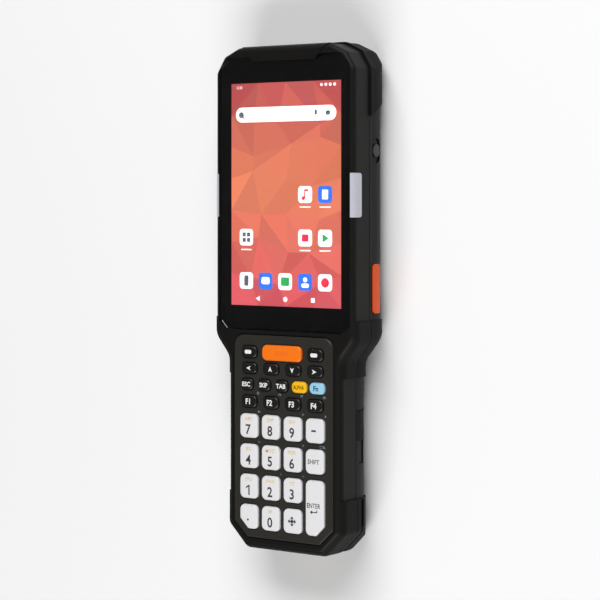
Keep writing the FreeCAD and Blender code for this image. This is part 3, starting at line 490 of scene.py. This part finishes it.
def key_outline(node, sizes):
    """A key cap's outline with its normals, its middle, and the heights of its top and flange."""
    low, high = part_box(node)
    x, y = (low.x + high.x) / 2, (low.y + high.y) / 2
    width, length = high.x - low.x - 2 * KEY_FLANGE, high.y - low.y - 2 * KEY_FLANGE
    corners = rectangle(x, y, width, length)
    corner = min(sizes.key_corner, SHORT_KEY_CORNER * length)
    radii = [corner] * 4
    if node == "key_dot":
        (x0, y0) = corners[0]
        corners[0:1] = [(x0, y0 + KEY_CUT), (x0 + KEY_CUT, y0)]
        radii = [KEY_CUT_ROUND, KEY_CUT_ROUND] + radii[1:]
    if node == "key_enter":
        (x1, y0) = corners[1]
        corners[1:2] = [(x1 - KEY_CUT, y0), (x1, y0 + KEY_CUT)]
        radii = [corner, KEY_CUT_ROUND, KEY_CUT_ROUND] + radii[2:]
    outline, normals = rounded_outline(corners, radii)
    return outline, normals, np.array([x, y]), high.z, low.z


def key_cap(node, material, sizes):
    """A key cap: a crowned top, a rim of a quarter circle, straight sides, and the flange under the plate.

    The top falls from its middle by the crown times the square of the distance out. The rim is moved in
    by the edge radius times one minus the sine of its angle, and down by one minus the cosine.
    """
    outline, normals, centre, top, foot = key_outline(node, sizes)
    edge, crown = sizes.key_edge, sizes.key_crown
    share = np.linspace(0, 1, 5)
    rim = np.radians(np.linspace(15, 90, 6))
    flange_top = foot + KEY_FLANGE_THICKNESS
    profile = [(s, -edge, top - crown * s ** 2) for s in share]
    profile += [(1, -edge * (1 - math.sin(a)), top - crown - edge * (1 - math.cos(a))) for a in rim]
    profile += [(1, 0, flange_top), (1, KEY_FLANGE, flange_top), (1, KEY_FLANGE, foot), (0, 0, foot)]
    points, faces = carried_profile(outline, normals, centre, profile)
    return new_piece(node + "_cap", points, faces, material, body_of_node(node),
                     (node,), CAP_SHARP_ANGLE)


def one(x, y, height):
    """The number one with its flag, as flat points and a face."""
    half, width = height / 2, 0.15 * height
    return shape([(x + width, y - half), (x + width, y + half), (x + 0.1 * width, y + half),
                  (x - 1.9 * width, y + half - 1.3 * width), (x - 1.9 * width, y + half - 2.4 * width),
                  (x, y + half - 1.15 * width), (x, y - half)])


def enter_sign(x, y):
    """The word on the enter key and the bent arrow under it."""
    right, level, shaft = x + 1.3 * MM, y - 1.6 * MM, 0.4 * MM
    head = shape([(0, 0), (1.2 * MM, 0.8 * MM), (1.2 * MM, -0.8 * MM)])
    return joined([
        words("ENTER", x - 0.3 * MM, y + 1.05 * MM, WORD_HEIGHT, 0.8, 0.01),
        stroke([(right, level + 1.0 * MM), (right, level), (x - 1.2 * MM, level)], shaft),
        turned(head, x - 2.2 * MM, level, 0)])


def cross_sign(x, y):
    """A disc with four arrows that point away from it."""
    tip, neck, hub = 2.1 * MM, 1.1 * MM, 0.75 * MM
    half_head, half_shaft = 0.95 * MM, 0.22 * MM
    head = shape([(tip, 0), (neck, half_head), (neck, -half_head)])
    inner, outer = 0.5 * MM, 1.2 * MM
    shaft = shape([(inner, half_shaft), (inner, -half_shaft), (outer, -half_shaft), (outer, half_shaft)])
    return joined([disc(x, y, hub)] + [turned(head, x, y, q) for q in range(4)]
                  + [turned(shaft, x, y, q) for q in range(4)])


def key_print(node):
    """The legends of a key: a list of which ink, and the flat points and faces."""
    low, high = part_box(node)
    x, y = (low.x + high.x) / 2, (low.y + high.y) / 2
    name = node[4:]
    if name in SMALL_LETTERS:
        if name == "1":
            number = one(x, y - NUMBER_DROP, NUMBER_HEIGHT)
        else:
            number = words(name, x - 0.1 * MM, y - NUMBER_DROP, NUMBER_HEIGHT, 0.95, NUMBER_BOLD)
        letters = words(SMALL_LETTERS[name], x, y + LETTERS_RISE, LETTERS_HEIGHT, 1.0, LETTERS_BOLD)
        return [("dark", number), ("gold", letters)]
    if name in ("esc", "skip", "tab"):
        squeeze = 0.82 if name == "skip" else 1.0
        return [("pale", words(name.upper(), x - 0.1 * MM, y, WORD_HEIGHT, squeeze, WORD_BOLD))]
    if name in ("f1", "f2", "f3", "f4"):
        return [("pale", words(name.upper(), x - 0.3 * MM, y, FUNCTION_HEIGHT, 0.92, WORD_BOLD))]
    if name.startswith("arrow_"):
        quarter = ("right", "up", "left", "down").index(name[6:])
        return [("pale", arrowhead(x, y, ARROW_REACH, quarter))]
    if name.startswith("soft_"):
        return [("pale", tile(x - 0.2 * MM, y, *SOFT_MARK))]
    plain = {
        "minus": lambda: [("dark", tile(x - 0.3 * MM, y, *MINUS_MARK))],
        "dot": lambda: [("dark", disc(x - 0.25 * MM, y - DOT_DROP, DOT_RADIUS))],
        "shift": lambda: [("dark", words("SHIFT", x - 0.4 * MM, y, 1.9 * MM, 0.88, 0.01))],
        "alpha": lambda: [("umber", words("ALPHA", x, y, 1.7 * MM, 0.74, 0.015))],
        "fn": lambda: [("navy", words("Fn", x - 0.3 * MM, y, 2.2 * MM, 0.95, 0.03))],
        "enter": lambda: [("dark", enter_sign(x, y))],
        "cross": lambda: [("dark", cross_sign(x, y))],
        "scan": lambda: [("scan", words("SCAN", x, y, 1.7 * MM, 1.0, 0.01))],
    }
    return plain[name]()


# Operators

class TERMINAL_OT_shells(bpy.types.Operator):
    """Dresses both shells, the brow bar, the battery door and its lock in moulded plastic"""
    bl_idname = "terminal.shells"
    bl_label = "Shells"

    def execute(self, context):
        colours, sizes = context.scene.terminal_colours, context.scene.terminal_sizes
        # Polycarbonate and ABS from a spark-eroded mould: charcoal, half matt, with a fine dry grain.
        plastic = moulded_plastic("Moulded PC and ABS", colours.housing, 0.46, sizes.grain, 0.02 * MM,
                                  specular=0.14)
        for node in ("front_housing", "rear_housing", "brow_bar", "battery_door"):
            welded_copy(node, plastic)
        dress("door_lock", moulded_plastic("Moulded acetal", linear("3A3938"), 0.4, 0.3 * MM, 0.01 * MM))
        return {"FINISHED"}


class TERMINAL_OT_bumpers(bpy.types.Operator):
    """Dresses the rubber bumpers and the port cover"""
    bl_idname = "terminal.bumpers"
    bl_label = "Bumpers"

    def execute(self, context):
        colours = context.scene.terminal_colours
        # Thermoplastic elastomer moulded over the shells: darker and more matt, with a soft sheen.
        rubber = moulded_plastic("Thermoplastic elastomer", colours.bumper, 0.62, 0.25 * MM, 0.012 * MM,
                                 specular=0.12)
        for node in ("top_bumper", "tail_bumper", "neck_bumper_right", "neck_bumper_left", "port_cover"):
            welded_copy(node, rubber)
        return {"FINISHED"}


class TERMINAL_OT_screen(bpy.types.Operator):
    """Makes the screen: glass, black border print, lit picture and generic icons"""
    bl_idname = "terminal.screen"
    bl_label = "Screen"

    def execute(self, context):
        colours, sizes = context.scene.terminal_colours, context.scene.terminal_sizes
        dress("touch_glass", strengthened_glass())
        dress("display_module", moulded_plastic("Display frame", linear("101012"), 0.4, 0.3 * MM, 0.003 * MM))
        lit = lit_area(sizes)
        border_print(lit)
        picture(lit, colours)
        screen_icons(lit)
        return {"FINISHED"}


def strengthened_glass():
    """Chemically strengthened glass: clear and mirror smooth, with a breath of uneven gloss."""
    material, tree = blank_material("Strengthened glass")
    place = add(tree, "ShaderNodeTexCoord")
    noise = add(tree, "ShaderNodeTexNoise", {"Vector": place.outputs["Object"], "Scale": 1 / (25 * MM)})
    rough = add(tree, "ShaderNodeMapRange", {"Value": noise.outputs[0], "To Min": 0.0, "To Max": 0.03})
    shader = add(tree, "ShaderNodeBsdfPrincipled", {
        "Base Color": (1, 1, 1, 1), "Roughness": rough.outputs[0], "IOR": 1.5, "Transmission Weight": 1})
    finish_material(tree, shader)
    return material


def lit_area(sizes):
    """The screen's lit rectangle: low and high corners, and the height that the layers start from."""
    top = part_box("touch_glass")[1].y - sizes.screen_top_margin
    half = sizes.screen_width / 2
    return np.array([-half, top - sizes.screen_length]), np.array([half, top]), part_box("display_module")[1].z


# What lies under the glass, in layers of this height above the display module
LAYER = 0.014 * MM
PICTURE_LEVEL, TILE_LEVEL, SIGN_LEVEL, BORDER_LEVEL = 1, 2, 3, 5
BORDER_INSET = 0.3 * MM
BORDER_CUTS = (4.8 * MM, 3.2 * MM)

# The picture's grid, how far its inner points move, and how far its shades vary
PICTURE_GRID = (4, 7)
PICTURE_SEED = 11
PICTURE_JITTER = 0.34
PICTURE_TURN = 0.55
SHADE_RANGE = (0.86, 1.14)
SHADE_LIFT = 0.02

# Where the icons stand: across, and down from the lit area's top edge
ICON_SIZE = 7.0 * MM
ICON_CORNER = 1.5 * MM
ICON_COLUMNS = np.array([-20.2, -10.15, -0.1, 10.1, 20.1]) * MM
ICON_ROWS = (46.9 * MM, 64.9 * MM, 83.2 * MM)
CAPTION_DROP = -5.2
BAR_ROW = 13.3 * MM
STATUS_ROW = 1.7 * MM
FOOT_ROW = 3.0 * MM


def border_print(lit):
    """The black print under the glass, all round the lit area."""
    low, high, z = lit
    glass_low, glass_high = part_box("touch_glass")
    x0, y0 = glass_low.x + BORDER_INSET, glass_low.y + BORDER_INSET
    x1, y1 = glass_high.x - BORDER_INSET, glass_high.y - BORDER_INSET
    cut, tail_cut = BORDER_CUTS
    strips = [
        [(x0, high[1]), (x1, high[1]), (x1, y1 - cut), (x1 - cut, y1), (x0 + cut, y1), (x0, y1 - cut)],
        [(x0, low[1]), (x0, y0 + tail_cut), (x0 + tail_cut, y0), (x1 - tail_cut, y0), (x1, y0 + tail_cut),
         (x1, low[1])],
        [(x0, low[1]), (low[0], low[1]), (low[0], high[1]), (x0, high[1])],
        [(high[0], low[1]), (x1, low[1]), (x1, high[1]), (high[0], high[1])],
    ]
    # Black ceramic ink fired on the glass: even and deep.
    ink = printed_ink("Black ceramic ink", linear("060607"), specular=0.1)
    printed("border_print", strips, z + BORDER_LEVEL * LAYER, ink, "display_screen", LAYER / 2)


def picture(lit, colours):
    """The lit picture: flat triangles over a jittered grid, each in a tint of its own.

    The grid's inner points are moved by about a third of a cell at most. A triangle's colour runs from
    the top colour through the middle one to the tail one with its height, and it is made lighter or
    darker by chance.
    """
    low, high, z = lit
    columns, rows = PICTURE_GRID
    chance = np.random.default_rng(PICTURE_SEED)
    u, v = np.meshgrid(np.linspace(0, 1, columns + 1), np.linspace(0, 1, rows + 1))
    inner = (u > 0) & (u < 1) & (v > 0) & (v < 1)
    u = u + inner * chance.uniform(-PICTURE_JITTER, PICTURE_JITTER, u.shape) / columns
    v = v + inner * chance.uniform(-PICTURE_JITTER, PICTURE_JITTER, v.shape) / rows
    flat = np.stack([low[0] + u * (high[0] - low[0]), low[1] + v * (high[1] - low[1])], -1).reshape(-1, 2)
    quads = grid_faces(rows + 1, columns + 1, False)
    flip = chance.random(len(quads)) > 0.5
    first = np.where(flip[:, None], quads[:, [0, 1, 2]], quads[:, [0, 1, 3]])
    second = np.where(flip[:, None], quads[:, [0, 2, 3]], quads[:, [1, 2, 3]])
    faces = np.concatenate([first, second])
    points = np.column_stack([flat, np.full(len(flat), z + PICTURE_LEVEL * LAYER)])
    piece = new_piece("screen_picture", points, faces, lit_picture(), "root")
    middle = flat[faces].mean(1)
    height = (middle[:, 1] - low[1]) / (high[1] - low[1])
    stops = np.array([colours.screen_tail[:3], colours.screen_middle[:3], colours.screen_top[:3]])
    tint = np.stack([np.interp(height, [0.0, PICTURE_TURN, 1.0], stops[:, i]) for i in range(3)], -1)
    shading = chance.uniform(*SHADE_RANGE, (len(faces), 1))
    tint = tint * shading + chance.uniform(0, SHADE_LIFT, (len(faces), 1))
    shades = np.column_stack([tint, np.ones(len(faces))]).clip(0, 1)
    layer = piece.data.color_attributes.new("facet", "FLOAT_COLOR", "CORNER")
    layer.data.foreach_set("color", np.repeat(shades, 3, axis=0).astype(np.float32).ravel())
    film = piece.modifiers.new("Film", "SOLIDIFY")
    film.thickness = LAYER / 2
    film.offset = -1


SCREEN_GLOW = 1.0


def lit_picture():
    """A lit screen: each facet glows in the tint kept on the mesh."""
    material, tree = blank_material("Lit picture")
    tint = add(tree, "ShaderNodeAttribute", attribute_name="facet").outputs["Color"]
    shader = add(tree, "ShaderNodeBsdfPrincipled", {
        "Base Color": (0.02, 0.02, 0.02, 1), "Roughness": 0.5, "Emission Color": tint,
        "Emission Strength": SCREEN_GLOW})
    finish_material(tree, shader)
    return material


def near(spot, x, y):
    """A point beside a spot, by millimetres across and up."""
    return spot[0] + x * MM, spot[1] + y * MM


def mark(spot, x, y, width, height, corner):
    """A rounded tile beside a spot, all in millimetres."""
    return tile(*near(spot, x, y), width * MM, height * MM, corner * MM)


def dot(spot, x, y, radius):
    """A disc beside a spot, all in millimetres."""
    return disc(*near(spot, x, y), radius * MM)


def screen_icons(lit):
    """The search bar, status marks, tiles with generic signs, and the three navigation signs."""
    low, high, z = lit
    y = high[1]
    white = printed_ink("Lit white", linear("F4F4F6"), 1.0)
    blue = printed_ink("Lit blue", linear("2F6FE0"), 0.9)
    red = printed_ink("Lit red", linear("D8304A"), 0.9)
    grey = printed_ink("Lit grey", linear("5B6068"), 0.8)
    green = printed_ink("Lit green", linear("2FA35A"), 0.9)
    upper, lower, dock = (y - row for row in ICON_ROWS)
    first, fourth, fifth = (ICON_COLUMNS[i] for i in (0, 3, 4))
    music, paper, cells = (fourth, upper), (fifth, upper), (first, lower)
    case, play = (fourth, lower), (fifth, lower)
    phone, message, leaf, person, ring = [(x, dock) for x in ICON_COLUMNS]
    bar, corner, foot = (0, y - BAR_ROW), (high[0], y - STATUS_ROW), (0, low[1] + FOOT_ROW)
    icons = [tile(*spot, ICON_SIZE, ICON_SIZE, ICON_CORNER)
             for spot in (music, cells, case, play, phone, leaf, ring)]
    captions = [mark(spot, 0, CAPTION_DROP, 5.6, 0.5, 0.2) for spot in (music, paper, cells, case, play)]
    clock = words("12:30", low[0] + 4.3 * MM, y - STATUS_ROW, 1.2 * MM)
    status = [mark(corner, -(3.2 + 2.2 * i), 0, 1.2, 1.2, 0.3) for i in range(4)]
    back = shape([(-1.2 * MM, 0), (0.8 * MM, 1.15 * MM), (0.8 * MM, -1.15 * MM)])
    signs = [turned(back, *near(foot, -14, 0), 0), dot(foot, 0, 0, 1.05), mark(foot, 14, 0, 1.9, 1.9, 0.25)]
    triangle = shape([(1.9 * MM, 0), (-1.3 * MM, 1.8 * MM), (-1.3 * MM, -1.8 * MM)])
    prints = [
        ("screen_white", TILE_LEVEL, white,
         [mark(bar, 0, 0, 51.4, 6.3, 3.1)] + icons + captions + [clock] + status + signs),
        ("screen_blue", TILE_LEVEL, blue,
         [tile(*spot, ICON_SIZE, ICON_SIZE, ICON_CORNER) for spot in (paper, message, person)]),
        ("screen_red", SIGN_LEVEL, red,
         [dot(music, -0.9, -1.5, 0.85), mark(music, -0.2, 0.3, 0.5, 3.6, 0.1),
          mark(music, 0.6, 1.8, 2.0, 0.8, 0.2), mark(case, 0, 0, 3.4, 3.0, 0.5), dot(ring, 0, 0, 2.0)]),
        ("screen_green", SIGN_LEVEL, green, [turned(triangle, *play, 0), mark(leaf, 0, 0, 4.2, 3.6, 0.6)]),
        ("screen_grey", SIGN_LEVEL, grey,
         [mark(cells, i * 2.3, j * 2.3, 1.7, 1.7, 0.3) for i in (-0.5, 0.5) for j in (-0.5, 0.5)]
         + [dot(bar, -22.8, 0, 1.3), stroke([near(bar, -22.0, -0.9), near(bar, -21.0, -1.9)], 0.5 * MM),
            mark(bar, 15.5, 0.4, 1.1, 2.2, 0.5), mark(bar, 21.5, 0, 2.2, 1.8, 0.4),
            mark(phone, 0, 0, 2.2, 4.4, 0.5)]),
        ("screen_sheets", SIGN_LEVEL, white,
         [mark(paper, 0, 0, 3.0, 4.0, 0.4), mark(message, 0, 0.2, 4.2, 3.0, 0.9),
          dot(person, 0, 1.0, 1.05), mark(person, 0, -1.4, 3.8, 1.8, 0.8)]),
    ]
    for name, level, ink, marks in prints:
        printed_faces(name, *joined(marks), z + level * LAYER, ink, slot="display_screen",
                      thickness=LAYER / 2)


class TERMINAL_OT_keys(bpy.types.Operator):
    """Makes the keys' crowned caps and their printed legends"""
    bl_idname = "terminal.keys"
    bl_label = "Keys"

    def execute(self, context):
        colours, sizes = context.scene.terminal_colours, context.scene.terminal_sizes
        # Polycarbonate key tops with a clear hard coat: satin, clean, with an almost even colour.
        def satin(name, colour):
            return moulded_plastic(name, colour, 0.38, 0.2 * MM, 0.002 * MM, 4 * MM, 0.025, coat=0.15)
        caps = {"light": satin("Coated white polycarbonate", colours.light_key),
                "dark": satin("Coated black polycarbonate", colours.dark_key),
                "key_scan": satin("Coated orange polycarbonate", colours.scan_key),
                "key_alpha": satin("Coated yellow polycarbonate", colours.alpha_key),
                "key_fn": satin("Coated blue polycarbonate", colours.fn_key)}
        caps["key_shift"] = caps["light"]
        inks = {"dark": printed_ink("Dark grey ink", colours.dark_legend),
                "pale": printed_ink("White ink", colours.pale_legend),
                "gold": printed_ink("Yellow ink", colours.gold_legend),
                "umber": printed_ink("Brown ink", linear("5A3B00")),
                "navy": printed_ink("Navy ink", linear("1E4A66")),
                "scan": printed_ink("Orange ink", linear("EC6A12"))}
        for node in sorted(n for n in frame["nodes"] if n.startswith("key_")):
            kind = node if node in caps else ("light" if node in LIGHT_KEYS else "dark")
            key_cap(node, caps[kind], sizes)
            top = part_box(node)[1].z
            for ink, lot in key_print(node):
                printed_faces(f"{node}_print_{ink}", *lot, top - PRINT_SUNK, inks[ink], body_of_node(node),
                              slot_of_node(node), sizes.print_thickness)
        return {"FINISHED"}


# The small marks on the plate beside the keys, each behind the key's right corner
PLATE_SIGNS = {"key_f1": "F5", "key_f2": "F6", "key_f3": "F7", "key_f4": "F8",
               "key_7": "&+", "key_9": "(+", "key_minus": "#", "key_4": "*+", "key_6": "/+",
               "key_2": "?", "key_3": "=", "key_shift": "CTRL"}
SIGN_HEIGHT = 0.95 * MM
SIGN_SQUEEZE = 0.95
SIGN_RISE = 0.55 * MM
SHORT_SIGN_BACK = 0.2 * MM
LONG_SIGN_BACK = 1.6 * MM
PLATE_PRINT_SUNK = 0.005 * MM


class TERMINAL_OT_keypad(bpy.types.Operator):
    """Dresses the keypad plate and prints its small marks"""
    bl_idname = "terminal.keypad"
    bl_label = "Keypad plate"

    def execute(self, context):
        colours = context.scene.terminal_colours
        # Painted polycarbonate sheet: a little lighter and smoother than the shells.
        paint = moulded_plastic("Painted polycarbonate", colours.plate, 0.42, 0.22 * MM, 0.006 * MM,
                                specular=0.3)
        welded_copy("keypad_plate", paint)
        dress("keypad_mat", moulded_plastic("Silicone rubber", linear("2B2B2C"), 0.6, 0.4 * MM, 0.01 * MM))
        dress("keypad_board", solder_mask())
        ink = printed_ink("Blue grey ink", colours.blue_legend)
        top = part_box("keypad_plate")[1].z
        marks = []
        for node, sign in PLATE_SIGNS.items():
            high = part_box(node)[1]
            back = LONG_SIGN_BACK if len(sign) > 2 else SHORT_SIGN_BACK
            marks.append(words(sign, high.x - back, high.y + SIGN_RISE, SIGN_HEIGHT, SIGN_SQUEEZE))
        printed_faces("plate_marks", *joined(marks), top - PLATE_PRINT_SUNK, ink, slot="keypad_plate")
        return {"FINISHED"}


def solder_mask():
    """A board under green solder mask, with paler tracks faintly showing."""
    material, tree = blank_material("Solder mask on glass fibre")
    place = add(tree, "ShaderNodeTexCoord")
    tracks = add(tree, "ShaderNodeTexBrick", {
        "Vector": place.outputs["Object"], "Scale": 1 / (4 * MM), "Color1": linear("14532B"),
        "Color2": linear("1A6335"), "Mortar": linear("0E3A1E")})
    shader = add(tree, "ShaderNodeBsdfPrincipled", {"Base Color": tracks.outputs[0], "Roughness": 0.35})
    finish_material(tree, shader)
    return material


class TERMINAL_OT_side_pieces(bpy.types.Operator):
    """Dresses the scan buttons, light guides, power button, connector, camera, window and contacts"""
    bl_idname = "terminal.side_pieces"
    bl_label = "Side pieces"

    def execute(self, context):
        colours = context.scene.terminal_colours
        # Moulded polycarbonate buttons in strong orange, half matt from the mould.
        orange = moulded_plastic("Moulded orange polycarbonate", colours.side_button, 0.42, 0.3 * MM,
                                 0.006 * MM, specular=0.25)
        # Light diffusing polycarbonate: milky, smoother than the shells, with a faint clear skin.
        milky = moulded_plastic("Milky polycarbonate", colours.light_guide, 0.32, 0.4 * MM, 0.002 * MM,
                                coat=0.2)
        black = moulded_plastic("Moulded black polycarbonate", linear("1C1B1B"), 0.45, 0.3 * MM, 0.006 * MM)
        for node in ("scan_button_right", "scan_button_left"):
            welded_copy(node, orange)
        for node in ("light_guide_right", "light_guide_left"):
            welded_copy(node, milky)
        welded_copy("power_button", black)
        for node in ("speaker", "scan_engine", "rear_camera"):
            dress(node, black)
        # Dark red filter glass in front of the scan engine, glossy and nearly black.
        acrylic = moulded_plastic("Red filter acrylic", linear("2A0608"), 0.05, 2 * MM, 0.0004 * MM, ior=1.49)
        dress("scan_window", acrylic)
        dress("battery_pack", moulded_plastic("Shrink sleeve", linear("2E2E30"), 0.3, 3 * MM, 0.01 * MM))
        dress("main_board", solder_mask())
        dress("port_connector", worked_metal("Nickel plated steel", (0.66, 0.65, 0.62, 1), 0.25))
        dress("charging_contacts", worked_metal("Gold plated brass", (0.95, 0.72, 0.35, 1), 0.22))
        dress("housing_screws", worked_metal("Black zinc steel", (0.06, 0.06, 0.065, 1), 0.45))
        return {"FINISHED"}


# The camera, solved from the photo's perspective: metres, the tilt about Y, the lens, and the upward shift
CAMERA_PLACE = (0.4768, 0.0415, 0.6895)
CAMERA_TILT = math.radians(35.23)
CAMERA_LENS = 117.84
CAMERA_SHIFT = -0.1698
SENSOR_WIDTH = 36
NEAR_CLIP = 0.01

# The stage: half the floor's side, how far it lies under the part, two soft lights and the even light
FLOOR_HALF = 3.0
FLOOR_DROP = 0.0002
LIGHTS = (("top end", (0.25, 1.35, 1.15), 29), ("tail end", (0.25, -1.35, 1.15), 25))
LIGHT_SIZE = (1.6, 0.9)
WORLD_LIGHT = 0.06


class TERMINAL_OT_stage(bpy.types.Operator):
    """Lays the pale floor and sets the soft studio lights and the camera"""
    bl_idname = "terminal.stage"
    bl_label = "Stage"

    def execute(self, context):
        colours = context.scene.terminal_colours
        side = np.array([-FLOOR_HALF, FLOOR_HALF])
        x, y = np.meshgrid(side, side)
        points = np.column_stack([x.ravel(), y.ravel(), np.full(4, -FLOOR_DROP)])
        mesh = bpy.data.meshes.new("floor")
        mesh.from_pydata(points.tolist(), [], grid_faces(2, 2, False).tolist())
        floor = bpy.data.objects.new("floor", mesh)
        context.scene.collection.objects.link(floor)
        mesh.materials.append(moulded_plastic("Matt card", colours.floor, 0.8, 2 * MM, 0.01 * MM, 0.4, 0.01))
        world = bpy.data.worlds.new("studio")
        world.use_nodes = True
        background = world.node_tree.nodes["Background"]
        background.inputs[0].default_value = (1, 1, 1, 1)
        background.inputs[1].default_value = WORLD_LIGHT
        context.scene.world = world
        context.scene.view_settings.view_transform = "Standard"
        for name, place, power in LIGHTS:
            soft_light(context, name, place, (0, 0, 0), LIGHT_SIZE, power)
        set_camera(context)
        return {"FINISHED"}


def soft_light(context, name, place, target, size, power):
    """A rectangular soft light that faces a point."""
    light = bpy.data.lights.new(name, "AREA")
    light.shape = "RECTANGLE"
    light.size, light.size_y = size
    light.energy = power
    lamp = bpy.data.objects.new(name, light)
    context.scene.collection.objects.link(lamp)
    away = Vector(place) - Vector(target)
    lamp.matrix_world = Matrix.Translation(place) @ away.to_track_quat("Z", "Y").to_matrix().to_4x4()


def set_camera(context):
    """The camera stands to the right and above, and looks down across the body, upright along it."""
    data = bpy.data.cameras.new("camera")
    data.lens = CAMERA_LENS
    data.sensor_width = SENSOR_WIDTH
    data.shift_y = CAMERA_SHIFT
    data.clip_start = NEAR_CLIP
    camera = bpy.data.objects.new("camera", data)
    context.scene.collection.objects.link(camera)
    sin, cos = math.sin(CAMERA_TILT), math.cos(CAMERA_TILT)
    right, up, back = Vector((cos, 0, -sin)), Vector((0, 1, 0)), Vector((sin, 0, cos))
    turn = Matrix((right, up, back)).transposed().to_4x4()
    camera.matrix_world = Matrix.Translation(CAMERA_PLACE) @ turn
    context.scene.camera = camera


OPERATORS = (TERMINAL_OT_stage, TERMINAL_OT_shells, TERMINAL_OT_bumpers, TERMINAL_OT_screen,
             TERMINAL_OT_keypad, TERMINAL_OT_keys, TERMINAL_OT_side_pieces)


class TERMINAL_PT_panel(bpy.types.Panel):
    """Lists the terminal's pieces, sizes and colours in the sidebar"""
    bl_idname = "TERMINAL_PT_panel"
    bl_label = "Barcode data terminal"
    bl_space_type = "VIEW_3D"
    bl_region_type = "UI"
    bl_category = "Terminal"

    def draw(self, context):
        for operator in OPERATORS:
            self.layout.operator(operator.bl_idname)
        for group in (context.scene.terminal_sizes, context.scene.terminal_colours):
            for name in group.bl_rna.properties.keys():
                if name not in ("rna_type", "name"):
                    self.layout.prop(group, name)


CLASSES = (TerminalColours, TerminalSizes, *OPERATORS, TERMINAL_PT_panel)


def register():
    """Registers the classes and gives the scene its sizes and colours."""
    for cls in CLASSES:
        bpy.utils.register_class(cls)
    bpy.types.Scene.terminal_colours = bpy.props.PointerProperty(type=TerminalColours)
    bpy.types.Scene.terminal_sizes = bpy.props.PointerProperty(type=TerminalSizes)


def unregister():
    """Takes away what register gave."""
    del bpy.types.Scene.terminal_sizes
    del bpy.types.Scene.terminal_colours
    for cls in reversed(CLASSES):
        bpy.utils.unregister_class(cls)


def main():
    """Registers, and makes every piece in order."""
    register()
    for operator in OPERATORS:
        group, name = operator.bl_idname.split(".")
        getattr(getattr(bpy.ops, group), name)()


if __name__ == "__main__":
    main()
